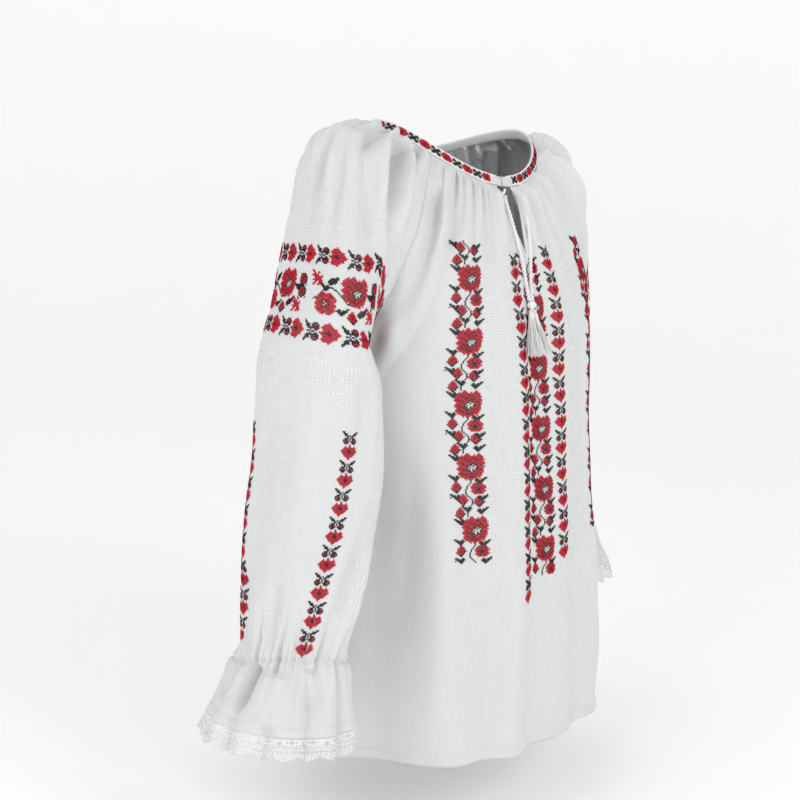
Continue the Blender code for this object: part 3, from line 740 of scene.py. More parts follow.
def mesh_piece(name, points, faces, materials, slots=None, chart=None, smooth=True):
    """A mesh object from numpy points and faces of four corners."""
    points = np.asarray(points, float).reshape(-1, 3)
    mesh = bpy.data.meshes.new(name)
    mesh.from_pydata(points.tolist(), [], faces.tolist())
    for made in materials:
        mesh.materials.append(made)
    if slots is not None:
        mesh.polygons.foreach_set("material_index", np.asarray(slots, np.int32))
    if chart is not None:
        layer = mesh.uv_layers.new(name="cut")
        corners = np.zeros(len(mesh.loops), np.int32)
        mesh.loops.foreach_get("vertex_index", corners)
        layer.data.foreach_set("uv", np.asarray(chart, float).reshape(-1, 2)[corners].ravel())
    mesh.polygons.foreach_set("use_smooth", [smooth] * len(mesh.polygons))
    mesh.update()
    return link(bpy.data.objects.new(name, mesh))


def thicken(piece, wall):
    solid = piece.modifiers.new("wall", "SOLIDIFY")
    solid.thickness = wall
    solid.offset = -1.0
    solid.use_even_offset = False


def joined(parts):
    """Several (points, faces) as one."""
    points, faces, start = [], [], 0
    for own_points, own_faces in parts:
        own_points = np.asarray(own_points, float).reshape(-1, 3)
        points.append(own_points)
        faces.append(np.asarray(own_faces) + start)
        start += len(own_points)
    return np.concatenate(points), np.concatenate(faces)


def tube(route, radius, sides):
    """A round tube along a route, as points and faces, with its ends drawn shut."""
    route = np.asarray(route, float)
    ahead = np.gradient(route, axis=0)
    ahead /= np.linalg.norm(ahead, axis=1, keepdims=True)
    aside = np.cross(ahead, np.array((0.31, 0.93, 0.17)))
    aside /= np.linalg.norm(aside, axis=1, keepdims=True)
    up = np.cross(aside, ahead)
    turn = np.linspace(0, 2 * math.pi, sides, endpoint=False)
    radii = np.broadcast_to(np.asarray(radius, float), (len(route),)).copy()
    ring = aside[:, None] * np.cos(turn)[:, None] + up[:, None] * np.sin(turn)[:, None]
    points = route[:, None] + ring * radii[:, None, None]
    ends = (route[:1, None] + 0 * ring[:1], route[-1:, None] + 0 * ring[-1:])
    points = np.concatenate((ends[0] + ring[:1] * 1e-5, points, ends[1] + ring[-1:] * 1e-5))
    return points.reshape(-1, 3), quads(len(points), sides, closed=True)


# Materials
def wire(tree, source, target):
    tree.links.new(source, target)


def effect_group(name, inputs, outputs):
    """An empty shader group with named inputs and outputs."""
    group = bpy.data.node_groups.new(name, "ShaderNodeTree")
    for label, kind, value in inputs:
        socket = group.interface.new_socket(name=label, in_out="INPUT", socket_type=kind)
        if value is not None:
            socket.default_value = value
    for label, kind in outputs:
        group.interface.new_socket(name=label, in_out="OUTPUT", socket_type=kind)
    enter = group.nodes.new("NodeGroupInput")
    leave = group.nodes.new("NodeGroupOutput")
    return group, enter, leave


def maths(tree, action, first, second=None):
    node = tree.nodes.new("ShaderNodeMath")
    node.operation = action
    for socket, value in zip(node.inputs, (first, second)):
        if value is None:
            continue
        if isinstance(value, (int, float)):
            socket.default_value = value
        else:
            wire(tree, value, socket)
    return node.outputs[0]


def noise(tree, vector, scale, detail=3.0):
    node = tree.nodes.new("ShaderNodeTexNoise")
    node.inputs["Detail"].default_value = detail
    node.inputs["Scale"].default_value = scale
    wire(tree, vector, node.inputs["Vector"])
    return node.outputs["Fac"]


def stretched(tree, vector, scale):
    node = tree.nodes.new("ShaderNodeVectorMath")
    node.operation = "MULTIPLY"
    wire(tree, vector, node.inputs[0])
    node.inputs[1].default_value = scale
    return node.outputs["Vector"]


# Slubs a metre across and along a thread
SLUB_FINE, SLUB_LONG = 620.0, 34.0


def weave_group():
    """Plain weave with slubs: warp and weft threads of uneven thickness."""
    group, enter, leave = effect_group(
        "plain weave",
        (
            ("Place", "NodeSocketVector", None),
            ("Threads", "NodeSocketFloat", 9000.0),
            ("Slubs", "NodeSocketFloat", 0.5),
        ),
        (("Height", "NodeSocketFloat"), ("Shade", "NodeSocketFloat")),
    )
    split = group.nodes.new("ShaderNodeSeparateXYZ")
    wire(group, enter.outputs["Place"], split.inputs[0])
    place, threads = enter.outputs["Place"], enter.outputs["Threads"]
    warp = maths(group, "SINE", maths(group, "MULTIPLY", split.outputs[0], threads))
    weft = maths(group, "SINE", maths(group, "MULTIPLY", split.outputs[1], threads))
    cross = maths(group, "MULTIPLY", warp, weft)
    long_ways = noise(group, stretched(group, place, (SLUB_FINE, SLUB_LONG, 1.0)), 1.0, 2.0)
    cross_ways = noise(group, stretched(group, place, (SLUB_LONG, SLUB_FINE, 1.0)), 1.0, 2.0)
    slubs = maths(group, "MAXIMUM", long_ways, cross_ways)
    slubs = maths(group, "MULTIPLY", slubs, enter.outputs["Slubs"])
    cross, raised = maths(group, "MULTIPLY", cross, 0.25), maths(group, "MULTIPLY", slubs, 1.6)
    wire(group, maths(group, "ADD", cross, raised), leave.inputs["Height"])
    wire(group, slubs, leave.inputs["Shade"])
    return group


def thread_group():
    """Twisted thread: fine slanting strands and a little unevenness."""
    group, enter, leave = effect_group(
        "twisted thread",
        (("Place", "NodeSocketVector", None), ("Strands", "NodeSocketFloat", 3000.0)),
        (("Height", "NodeSocketFloat"), ("Shade", "NodeSocketFloat")),
    )
    split = group.nodes.new("ShaderNodeSeparateXYZ")
    wire(group, enter.outputs["Place"], split.inputs[0])
    slant = maths(group, "ADD", split.outputs[0], split.outputs[2])
    strands = maths(group, "SINE", maths(group, "MULTIPLY", slant, enter.outputs["Strands"]))
    uneven = noise(group, enter.outputs["Place"], 900.0, 2.0)
    height = maths(group, "ADD", maths(group, "MULTIPLY", strands, 0.3), uneven)
    wire(group, height, leave.inputs["Height"])
    wire(group, uneven, leave.inputs["Shade"])
    return group


def place_output(tree, kind):
    """Where on the piece a texture is read: its flat cut, or its own solid space."""
    if kind == "cut":
        node = tree.nodes.new("ShaderNodeUVMap")
        node.uv_map = "cut"
        return node.outputs["UV"]
    return tree.nodes.new("ShaderNodeTexCoord").outputs["Object"]


def fabric(name, colour, dark, group, where, height, roughness, sheen, values=()):
    """A woven or spun material: its colour dips to dark by the group's shade."""
    made = bpy.data.materials.new(name)
    made.use_nodes = True
    tree = made.node_tree
    shader = tree.nodes["Principled BSDF"]
    shader.inputs["Metallic"].default_value = 0.0
    shader.inputs["Specular IOR Level"].default_value = 0.3
    shader.inputs["Sheen Weight"].default_value = sheen
    shader.inputs["Sheen Roughness"].default_value = 0.5
    effect = tree.nodes.new("ShaderNodeGroup")
    effect.node_tree = group
    wire(tree, place_output(tree, where), effect.inputs["Place"])
    for label, value in values:
        effect.inputs[label].default_value = value
    mix = tree.nodes.new("ShaderNodeMix")
    mix.data_type = "RGBA"
    mix.inputs["A"].default_value = (*dark, 1.0)
    mix.inputs["B"].default_value = (*colour, 1.0)
    wire(tree, effect.outputs["Shade"], mix.inputs["Factor"])
    wire(tree, mix.outputs["Result"], shader.inputs["Base Color"])
    rough = maths(tree, "MULTIPLY", effect.outputs["Shade"], 0.08)
    rough = maths(tree, "ADD", rough, roughness)
    wire(tree, rough, shader.inputs["Roughness"])
    bump = tree.nodes.new("ShaderNodeBump")
    bump.inputs["Strength"].default_value = 0.5
    bump.inputs["Distance"].default_value = height
    wire(tree, effect.outputs["Height"], bump.inputs["Height"])
    wire(tree, bump.outputs["Normal"], shader.inputs["Normal"])
    return made


WHITE_THREAD = (0.93, 0.93, 0.93)


def cloth_materials():
    """The cotton, white thread, lace and coloured threads, made once."""
    if "ie cotton" in bpy.data.materials:
        return {name: bpy.data.materials["ie " + name] for name in MATERIAL_NAMES}
    cloth = bpy.context.scene.ie_cloth
    stitches = bpy.context.scene.ie_stitches
    weave, thread = weave_group(), thread_group()
    cotton, lace = tuple(cloth.tint), tuple(cloth.lace_tint)

    def darker(colour, share):
        return tuple(part * share for part in colour)

    made = {
        "cotton": fabric(
            "ie cotton", cotton, darker(cotton, 0.80), weave, "cut", 0.00022, 0.84, 0.12,
            (("Threads", 7200.0), ("Slubs", 1.0)),
        ),
        "lace": fabric("ie lace", lace, darker(lace, 0.88), thread, "solid", 0.0003, 0.85, 0.1),
        "white": fabric("ie white", WHITE_THREAD, lace, thread, "solid", 0.0002, 0.62, 0.25),
    }
    for name in ("red", "wine", "black"):
        colour = tuple(getattr(stitches, name))
        made[name] = fabric(
            "ie " + name, colour, darker(colour, 0.72), thread, "solid", 0.0003, 0.60, 0.06
        )
    return made


MATERIAL_NAMES = ("cotton", "lace", "white", "red", "wine", "black")


# Cloth
def chart_of(points, middle_row, middle_col):
    """A flat place in metres for each corner of a grid of cloth."""
    row, col = points[middle_row], points[:, middle_col]
    wide = np.concatenate(([0.0], np.cumsum(np.linalg.norm(np.diff(row, axis=0), axis=1))))
    long = np.concatenate(([0.0], np.cumsum(np.linalg.norm(np.diff(col, axis=0), axis=1))))
    down, across = np.meshgrid(-long, wide - wide[middle_col], indexing="ij")
    return np.stack((across, down), -1)


def turned_out(points, faces, centres):
    """The faces, turned so that their normals point away from the centres."""
    corner = points[faces]
    normal = np.cross(corner[:, 2] - corner[:, 0], corner[:, 3] - corner[:, 1])
    away = points[faces[:, 0]] - centres[faces[:, 0]]
    return faces if np.sum(normal * away) > 0 else faces[:, ::-1]


def slit_edge(fall, side):
    """How far across the slit's edge lies, 0 below the slit's foot."""
    closing = np.interp(fall, SLIT_FALLS, SLIT_CLOSINGS)
    width = body_forms("front", np.ones_like(fall), fall)[..., 0]
    foot = SLIT_LEFT_X if side > 0 else SLIT_RIGHT_X
    return np.arcsin(foot * closing / width) * 2 / math.pi


SLIT_FALLS = (0.0, 0.08, 0.17, 0.28, 0.40)
SLIT_CLOSINGS = (1.0, 0.75, 0.5, 0.25, 0.0)


def body_falls(rows):
    """Row places down a body panel, closer together near the neck and the hem."""
    upper = eased(np.linspace(0, 0.5, rows // 2)) * 2
    lower = 2 - eased(np.linspace(0, 0.5, rows - rows // 2 + 1))[::-1] * 2 * 1.0
    falls = 0.45 * np.concatenate((upper, lower[1:])) + 0.55 * np.linspace(0, 2, rows)
    hem = 2 - HEM_HEIGHT / (UNDERARM_Z - HEM_Z) + np.linspace(-0.005, 0.005, 5)
    return np.sort(np.concatenate((falls, hem, (0.992, 1.0, 1.008))))


def make_body(face, cols, rows):
    """One body panel with its gathers, creases and turned hem."""
    made = cloth_materials()
    fall = body_falls(rows)[:, None]
    rows = len(fall)
    half = cols // 2
    share = np.linspace(0, 1, half)[None]
    if face == "front":
        right = -1 + (slit_edge(fall, -1) + 1) * share
        left = slit_edge(fall, 1) + (1 - slit_edge(fall, 1)) * share
    else:
        right, left = -1 + share + 0 * fall, share + 0 * fall
    across = np.concatenate((right, left), 1)
    fall = fall + 0 * across
    points = body_sheet(face, across, fall)
    chart = chart_of(points, int(rows * 0.7), half)
    faces = quads(rows, 2 * half)
    numbers = np.arange(rows * 2 * half).reshape(rows, -1)
    shut = np.abs(across[:, half] - across[:, half - 1]) < 1e-9
    numbers[shut, half] = numbers[shut, half - 1]
    faces = numbers.reshape(-1)[faces]
    cell_col = np.tile(np.arange(2 * half - 1), rows - 1)
    faces = faces[cell_col != half - 1]
    flat = points.reshape(-1, 3)
    centres = np.zeros_like(flat)
    centres[:, 2] = flat[:, 2]
    faces = turned_out(flat, faces, centres)
    piece = mesh_piece("panel_" + face, flat, faces, [made["cotton"]], chart=chart)
    thicken(piece, bpy.context.scene.ie_cloth.wall)
    return piece


def make_sleeve(name, cols, rows):
    """One raglan sleeve with its gathers, creases, drawn-in wrist and ruffle."""
    made = cloth_materials()
    cap = np.linspace(0, 1, int(rows * 0.38)) ** 1.15
    arm = np.linspace(1, 1.76, int(rows * 0.30))[1:]
    wrist = np.linspace(1.76, 1.90, int(rows * 0.21))[1:]
    foot = np.linspace(1.90, 2, rows - len(cap) - len(arm) - len(wrist) + 1)[1:]
    hem = 2 - 0.9 * HEM_HEIGHT / SLEEVE_DROP + np.linspace(-0.006, 0.006, 5)
    down = np.sort(np.concatenate((cap, arm, wrist, foot, hem)))[:, None]
    rows = len(down)
    around = np.linspace(-1, 1, cols)[None] + 0 * down
    down = down + 0 * around
    points = sleeve_sheet(name, around, down)
    chart = chart_of(points, int(rows * 0.6), cols // 2)
    numbers = np.arange(rows * cols).reshape(rows, cols)
    numbers[down[:, 0] >= 1, -1] = numbers[down[:, 0] >= 1, 0]
    faces = numbers.reshape(-1)[quads(rows, cols)]
    centres = np.broadcast_to(points.mean(1, keepdims=True), points.shape).reshape(-1, 3)
    flat = points.reshape(-1, 3)
    faces = turned_out(flat, faces, centres)
    piece = mesh_piece("sleeve_cloth_" + name, flat, faces, [made["cotton"]], chart=chart)
    thicken(piece, bpy.context.scene.ie_cloth.wall)
    return piece


def make_seams():
    """The sewn raglan and side seams, a fine sunken ridge between two panels."""
    made = cloth_materials()
    parts = []
    upper, lower = np.linspace(0.004, 0.996, 140), np.linspace(1.0, 1.995, 120)
    for name, side in SIDES.items():
        for face in ("front", "back"):
            edge = body_sheet(face, np.full(140, side), upper)
            turn = nearest_edge(name, edge)
            route = (edge + turn) / 2
            parts.append(route)
        front = body_sheet("front", np.full(120, side), lower)
        back = body_sheet("back", np.full(120, side), lower)
        parts.append((front + back) / 2)
    tubes = []
    for route in parts:
        inward = route * np.array((-1.0, -1.0, 0.0))
        inward /= np.linalg.norm(inward, axis=1, keepdims=True)
        tubes.append(tube(route + inward * SEAM_SINK, SEAM_RADIUS, 6))
    points, faces = joined(tubes)
    return mesh_piece("sewn_seams", points, faces, [made["cotton"]], chart=points[:, (1, 2)])


SEAM_RADIUS = 0.0020
SEAM_SINK = 0.0019


def nearest_edge(name, edge):
    """The sleeve's edge point beside each point of a panel's edge."""
    best = None
    for end in (-1.0, 1.0):
        line = sleeve_sheet(name, np.full(400, end), np.linspace(0, 1, 400))
        gap = np.linalg.norm(edge[:, None] - line[None], axis=2)
        near = line[gap.argmin(1)]
        mean = gap.min(1).mean()
        if best is None or mean < best[0]:
            best = (mean, near)
    return best[1]


# Neckband
def band_frames(turn):
    """The band's outer foot, its way up and its way out, at each turn in radians."""
    foot = neck_points(turn)
    inward = stack(-np.sin(turn), np.cos(turn), 0.0)
    rise = inward * (BAND_LEAN * (1 + np.abs(np.sin(turn))))[..., None]
    rise = rise + np.array((0.0, 0.0, 1.0))
    rise /= np.linalg.norm(rise, axis=-1, keepdims=True)
    across = np.cross(rise, stack(np.cos(turn), np.sin(turn), 0.0))
    across /= np.linalg.norm(across, axis=-1, keepdims=True)
    across *= -np.sign(np.sum(across * inward, -1, keepdims=True))
    face = foot + across * (BAND_THICKNESS - CLOTH_WALL) / 2 + rise * 3.5 * SEAM_GAP
    return face, rise, across


def band_ends():
    """The turns at which the band starts and stops."""
    start = math.asin((BAND_END_X + BAND_END_GAP / 2) / NECK_HALF_WIDTH)
    return start, math.asin((BAND_END_X - BAND_END_GAP / 2) / NECK_HALF_WIDTH) + 2 * math.pi


def band_face(turn, up):
    """A point of the band's outer face, up metres above its foot."""
    face, rise, across = band_frames(turn)
    up = np.asarray(up, float)
    bulge = 0.00035 * np.sin(np.clip(up / BAND_HEIGHT, 0, 1) * math.pi)
    return face + rise * up[..., None] + across * bulge[..., None]


def make_band():
    """The neckband with a rolled white edge above and below, and plain crumpled ends."""
    made = cloth_materials()
    start, stop = band_ends()
    turn = np.linspace(start, stop, 420)
    face, rise, across = band_frames(turn)
    from_end = np.minimum(turn - start, stop - turn) * NECK_HALF_WIDTH
    crumple = np.exp(-((from_end / 0.012) ** 2))
    wrinkle = 0.0007 * crumple * np.sin(from_end * 1900 + 0.6)
    ring = []
    corner = 0.0007
    profile = (
        (corner, 0.0), (BAND_HEIGHT * 0.3, 0.0003), (BAND_HEIGHT * 0.5, 0.00035),
        (BAND_HEIGHT * 0.7, 0.0003), (BAND_HEIGHT - corner, 0.0),
        (BAND_HEIGHT, -corner), (BAND_HEIGHT, corner - BAND_THICKNESS),
        (BAND_HEIGHT - corner, -BAND_THICKNESS), (corner, -BAND_THICKNESS),
        (-0.0014, corner - BAND_THICKNESS), (-0.0014, -corner),
    )
    for up, out in profile:
        height = up * (1 - 0.12 * crumple) + 0.0005 * crumple
        depth = out + wrinkle * (1 if out >= 0 else 0.4)
        ring.append(face + rise * height[:, None] + across * depth[:, None])
    points = np.stack(ring, 1)
    middles = points.mean(1, keepdims=True)
    caps = middles + (points - middles) * 0.02
    points = np.concatenate((caps[:1], points, caps[-1:]))
    faces = quads(len(points), points.shape[1], closed=True)
    flat = points.reshape(-1, 3)
    centres = np.broadcast_to(points.mean(1, keepdims=True), points.shape).reshape(-1, 3)
    faces = turned_out(flat, faces, centres)
    chart = np.stack(
        np.meshgrid(
            np.linspace(0, (stop - start) * 0.1, len(points)),
            np.linspace(0, 0.026, points.shape[1]),
            indexing="ij",
        ),
        -1,
    )
    band = mesh_piece("band_cloth", flat, faces, [made["cotton"]], chart=chart)
    edges = []
    for up, out in ((0.0004, 0.0002), (BAND_HEIGHT - 0.0003, 0.0001)):
        route = face + rise * (up * (1 - 0.1 * crumple))[:, None]
        route = route + across * (out + wrinkle)[:, None]
        radius = 0.00075 + 0.00012 * np.sin(np.arange(len(turn) - 8) * 1.3)
        edges.append(tube(route[4:-4], radius, 6))
    piping = mesh_piece("band_edges", *joined(edges), [made["white"]])
    return band, piping


# Lace
LACE_CELLS = 22
LACE_REPEAT = 24
LACE_HOLES = (
    "........................",
    ".oo.oo.oo.oo.oo.oo.oo.oo",
    "........................",
    "......oo................",
    "..oo.oooo.oo.....oo.....",
    "......oo........oooo....",
    "................oooo....",
    ".oo..........oo..oo..oo.",
    "....oo.oo.oo............",
    ".oo..........oo.oo.oo.oo",
    "....oo.oo.oo............",
    "........................",
    ".ooo.ooo.ooo.ooo.ooo.ooo",
    ".ooo.ooo.ooo.ooo.ooo.ooo",
    "........................",
    "..oo..oo..oo..oo..oo..oo",
    "........................",
    ".o..o..o..o..o..o..o..o.",
    ".o..o..o..o..o..o..o..o.",
    "........................",
    "..o...o...o...o...o...o.",
    "........................",
)


def make_lace(name):
    """A strip of lace below a ruffle: holes in groups and a scalloped foot with picots."""
    made = cloth_materials()
    rim = sleeve_sheet(name, np.linspace(-1, 1, 721), np.full(721, 2.0))
    length = np.concatenate(([0.0], np.cumsum(np.linalg.norm(np.diff(rim, axis=0), axis=1))))
    repeats = round(length[-1] / 0.001 / LACE_REPEAT)
    cols = repeats * LACE_REPEAT
    around = np.interp(np.linspace(0, length[-1], cols + 1), length, np.linspace(-1, 1, 721))
    foot = sleeve_sheet(name, around, np.full(cols + 1, 2.0))
    above = sleeve_forms(name, around, np.full(cols + 1, 1.9))
    ahead = sleeve_forms(name, around, np.full(cols + 1, 2.0)) - above
    ahead /= np.linalg.norm(ahead, axis=1, keepdims=True)
    out = foot - foot.mean(0)
    out -= ahead * np.sum(out * ahead, axis=1, keepdims=True)
    out /= np.linalg.norm(out, axis=1, keepdims=True)
    scallop = 1 - np.abs(((np.arange(cols + 1) / LACE_REPEAT) % 1.0) * 2 - 1)
    scallop = 0.75 * scallop + 0.25 * np.abs(np.sin(np.arange(cols + 1) * math.pi / 4))
    share = np.linspace(0, 1, LACE_CELLS + 1)[:, None]
    down = share * (LACE_DROP + 0.0012) - 0.0012
    down = down * (1 - 0.30 * (1 - scallop) * share**2)
    wave = 0.0013 * np.sin(np.arange(cols + 1) * 2 * math.pi / 31 + 1) * share
    wave = wave + 0.0007 * np.sin(np.arange(cols + 1) * 2 * math.pi / 13) * share**2
    points = foot[None] + ahead[None] * down[..., None] + out[None] * (wave - 0.0003)[..., None]
    points[:, -1] = points[:, 0]
    holes = np.array([[mark == "o" for mark in row] for row in LACE_HOLES])
    cell_row, cell_col = np.meshgrid(np.arange(LACE_CELLS), np.arange(cols), indexing="ij")
    kept = ~holes[cell_row, cell_col % LACE_REPEAT]
    kept &= ~((cell_row == LACE_CELLS - 1) & (cell_col % 2 == 1))
    numbers = np.arange((LACE_CELLS + 1) * (cols + 1)).reshape(LACE_CELLS + 1, cols + 1)
    numbers[:, -1] = numbers[:, 0]
    faces = numbers.reshape(-1)[quads(LACE_CELLS + 1, cols + 1)][kept.ravel()]
    flat = points.reshape(-1, 3)
    centres = np.broadcast_to(points.mean(1, keepdims=True), points.shape).reshape(-1, 3)
    faces = turned_out(flat, faces, centres)
    used, faces = np.unique(faces, return_inverse=True)
    piece = mesh_piece("lace_edging_" + name, flat[used], faces.reshape(-1, 4), [made["lace"]])
    thicken(piece, 0.0007)
    return piece


# Cords
CORD_POINTS = 140


def cord_line(side):
    return smooth_route(CORD_ROUTES[side], CORD_POINTS)


def line_frames(line):
    """Two directions across a line that turn with it and never twist."""
    ahead = np.gradient(line, axis=0)
    ahead /= np.linalg.norm(ahead, axis=1, keepdims=True)
    first = np.cross(ahead, np.array((1.0, 0.2, 0.0)))
    first /= np.linalg.norm(first, axis=1, keepdims=True)
    return first, np.cross(ahead, first)


CORD_TWIST = 0.0085


def make_cord(side):
    """A cord of two strands twisted together. The right one's strands part near the band."""
    made = cloth_materials()
    line = cord_line(side)
    first, second = line_frames(line)
    along = np.concatenate(([0.0], np.cumsum(np.linalg.norm(np.diff(line, axis=0), axis=1))))
    turn = along / CORD_TWIST * 2 * math.pi
    apart = np.full(len(line), 0.00112)
    if side == "right":
        loose = eased(1 - along / 0.020)
        apart = apart + 0.0016 * loose
        turn = turn * (1 - 0.85 * loose) + 0.2
    strands = []
    for start in (0.0, math.pi):
        route = line + first * (np.cos(turn + start) * apart)[:, None]
        route = route + second * (np.sin(turn + start) * apart)[:, None]
        strands.append(tube(route, 0.00128, 8))
    return mesh_piece("tie_cord_" + side, *joined(strands), [made["white"]]), line


def make_knot():
    """A small overhand knot, pulled tight, round both cords."""
    made = cloth_materials()
    turn = np.linspace(0, 2 * math.pi, 90)
    reach = KNOT_RADIUS * 0.62
    route = np.stack(
        (
            reach * (np.sin(turn) + 2 * np.sin(2 * turn)) / 2.4,
            reach * -np.sin(3 * turn) * 0.55,
            reach * (np.cos(turn) - 2 * np.cos(2 * turn)) / 2.4,
        ),
        -1,
    ) + np.array(KNOT_CENTRE)
    parts = [tube(route, 0.0016, 8)]
    wrap = np.linspace(0, 5.2 * math.pi, 80)
    collar = np.stack(
        (0.0030 * np.cos(wrap), 0.0026 * np.sin(wrap), 0.0013 * (wrap / math.pi - 2.6)), -1
    )
    parts.append(tube(collar + np.array(KNOT_CENTRE), 0.0011, 7))
    return mesh_piece("tie_knot", *joined(parts), [made["white"]])


TASSEL_THREADS = 64


def make_tassel(side):
    """Loose threads that spread from a wrapped neck."""
    made = cloth_materials()
    rng = np.random.default_rng(7 if side == "right" else 11)
    top = np.array(TASSEL_TOPS[side])
    swing = Vector(math.radians(angle) for angle in TASSEL_SWINGS[side])
    turned = Matrix.Rotation(swing.z, 3, "Z") @ Matrix.Rotation(swing.y, 3, "Y")
    turned = np.array(turned @ Matrix.Rotation(swing.x, 3, "X"))
    share = np.linspace(0, 1, 11)
    parts = []
    for number in range(TASSEL_THREADS):
        angle = number * 2.39996
        place = math.sqrt((number + 0.5) / TASSEL_THREADS)
        spread = 0.0014 + (TASSEL_FOOT_RADIUS * 1.5 - 0.0014) * eased(share * 0.85) ** 0.9
        spread = spread + 0.0012 * np.exp(-(((share - 0.06) / 0.05) ** 2))
        bend = 0.0011 * share * np.sin(share * 5.2 + rng.uniform(0, 6))
        length = TASSEL_LENGTH * rng.uniform(0.90, 1.0)
        local = np.stack(
            (
                spread * place * math.cos(angle) + bend,
                spread * place * math.sin(angle) + bend * rng.uniform(-1, 1),
                -share * length,
            ),
            -1,
        )
        route = top + local @ turned.T
        parts.append(tube(route, 0.00052 * (1 - 0.35 * share), 4))
    wrap = np.linspace(0, 8 * math.pi, 70)
    fall = -0.0055 - 0.0009 * wrap / math.pi / 2
    collar = np.stack((0.0026 * np.cos(wrap), 0.0026 * np.sin(wrap), fall), -1)
    parts.append(tube(top + collar @ turned.T, 0.0006, 6))
    return mesh_piece("tassel_threads_" + side, *joined(parts), [made["white"]])


# Charts: k black-green, r red, d wine, w white, . bare cloth
SMALL = """
kk.........kk
.kkk.....kkk.
..kkk.k.kkk..
....kk.kk....
..kkk.k.kkk..
.krdk.k.kdrk.
.krddk.kddrk.
..kkk...kkk..
......k......
...r..rr..r..
..rrrrrrrrrr.
.rrrrrkrrrrr.
rrrrrkdkrrrrr
.rrrrrkkrrrr.
..rrrrrrrrr..
...rrrrrrr...
.....rrr.....
......r......
"""
ROSE_BIG = """
.......rr......r...
....r.rrrr..r.rrr..
...rrrrrrrrrrrrrrr.
..rrrkrrrrrkkrrrkr.
.rrrrrkkrrkrrkrrrrr
.rrrrrrrkkrrrrkrrr.
rrrkrrrrrkrrkkrrrrr
.rrrkkrrrrkkrrrkrrr
..rrrrkrrkk.kkrrkr.
.rrrrrrkk..k..krrrr
rrrkrrrk.k...kkrrr.
.rrrkkrkk..k.krrkr.
..rrrrkrkk.kkrrkrr.
.rrkrrrkrrkrrrkrrr.
.rrrkkrrkkrrrkrrr..
..rrrrkkrrrrkrrrr..
...rrrrrkkkkrrrr...
.....rrrrrrrrr.r...
......r.rrr.rr.....
"""
ROSE_MID = """
....rrr.rrr...
..rrrrrrrrrr..
.rrdrrrrrrdrr.
rrrrdrrrrdrrrr
rrrrrddddrrrrr
.rrrdr.krdrrr.
rrrrdrk.rdrrrr
rrrrdr.krdrrrr
.rrrrddddrrrr.
rrrrdrrrrdrrrr
.rrdrrrrrrdrr.
..rrrrddrrrr..
....rrr.rrr...
"""
ROSE_SMALL = """
..rrr.rr..
.rrrdrrrr.
rrrdrrdrrr
rrdrkkrdrr
.rrdkkdrr.
rrrrddrrrr
.rrdrrdrr.
..rrrrrr..
"""
BUD = """
...rr...
..rrrr..
.rrrdrr.
.rrdrrr.
rrrdrrdk
.krrrdk.
..kkrk..
...kk...
"""
LEAF = """
.....kk
..kkkkk
.kkdkk.
kkdkkk.
kkkkk..
.kk....
"""
SPRIG = """
kk......
.kkk.kk.
..kkkkkk
...kkkk.
....kk..
"""
OVAL = """
k.kkkk..
.kkrrkk.
kkrrdrkk
krrddrrk
krrddrrk
kkrrdrkk
.kkrrkk.
k..kk..k
"""
FERN = """
.rr........
..rr..rr...
...rr.r....
.rrrrrr..r.
...rrrrrrr.
....rrrrr..
..rrrrrrrr.
....rr.rrr.
...rr..rrrr
..rr..rr.r.
"""
# One repeat of a wide upright border: motif, row, column, mirrored
WIDE_REPEAT = 44
WIDE_MOTIFS = (
    (SPRIG, 0, 1, False),
    (SPRIG, 14, 0, False),
    (ROSE_BIG, 0, 6, False),
    (SPRIG, 17, 18, True),
    (BUD, 19, 1, False),
    (ROSE_SMALL, 21, 15, False),
    (SPRIG, 27, 0, False),
    (BUD, 28, 5, True),
    (BUD, 30, 16, False),
    (SPRIG, 29, 19, True),
    (BUD, 37, 2, False),
    (SPRIG, 36, 7, False),
    (SPRIG, 38, 18, True),
)
NECK = """
kkk.kkk
.kkkkk.
..kkk..
..kkk..
.kkkkk.
kkk.kkk
.kk.kk.
...r...
..rrr..
.rrrrr.
rrrrrrr
rrrdrrr
rrdkdrr
rrrdrrr
rrrrrrr
.rrrrr.
..rrr..
...r...
.kk.kk.
"""


def stamp(canvas, text, row, col, mirror=False):
    """Puts a small chart on a larger one."""
    for down, line in enumerate(text.split()):
        for side, mark in enumerate(line[::-1] if mirror else line):
            if mark != "." and 0 <= row + down < canvas.shape[0]:
                canvas[row + down, (col + side) % canvas.shape[1]] = mark


def wide_border(rows, shift):
    """A wide upright border of whole roses, buds and leaves, shifted down by some rows."""
    canvas = np.full((rows, 26), ".")
    for first in range(shift - WIDE_REPEAT, rows, WIDE_REPEAT):
        for row in range(max(first + 18, 2), min(first + WIDE_REPEAT, rows - 2)):
            canvas[row, 13 + round(2.2 * math.sin((row - first) * 0.42))] = "k"
        for motif, row, col, mirror in WIDE_MOTIFS:
            top = first + row
            if top >= 0 and top + len(plain_chart(motif)) <= rows:
                stamp(canvas, motif, top, col, mirror=mirror)
    return canvas


def ring_chart():
    """One repeat of the wide border round a sleeve."""
    canvas = np.full((34, 56), ".")
    for col in range(6, 50):
        canvas[17 + round(4.5 * math.sin(col * 0.24 + 0.6)), col] = "k"
    stamp(canvas, FERN, 3, 2)
    stamp(canvas, LEAF, 6, 16)
    stamp(canvas, SPRIG, 11, 10)
    stamp(canvas, FERN, 21, 41)
    stamp(canvas, ROSE_BIG, 3, 24)
    stamp(canvas, ROSE_MID, 17, 8)
    stamp(canvas, OVAL, 6, 47)
    stamp(canvas, SPRIG, 12, 43, mirror=True)
    stamp(canvas, OVAL, 14, 47)
    stamp(canvas, BUD, 25, 28)
    stamp(canvas, SPRIG, 24, 22, mirror=True)
    stamp(canvas, LEAF, 22, 36)
    return canvas


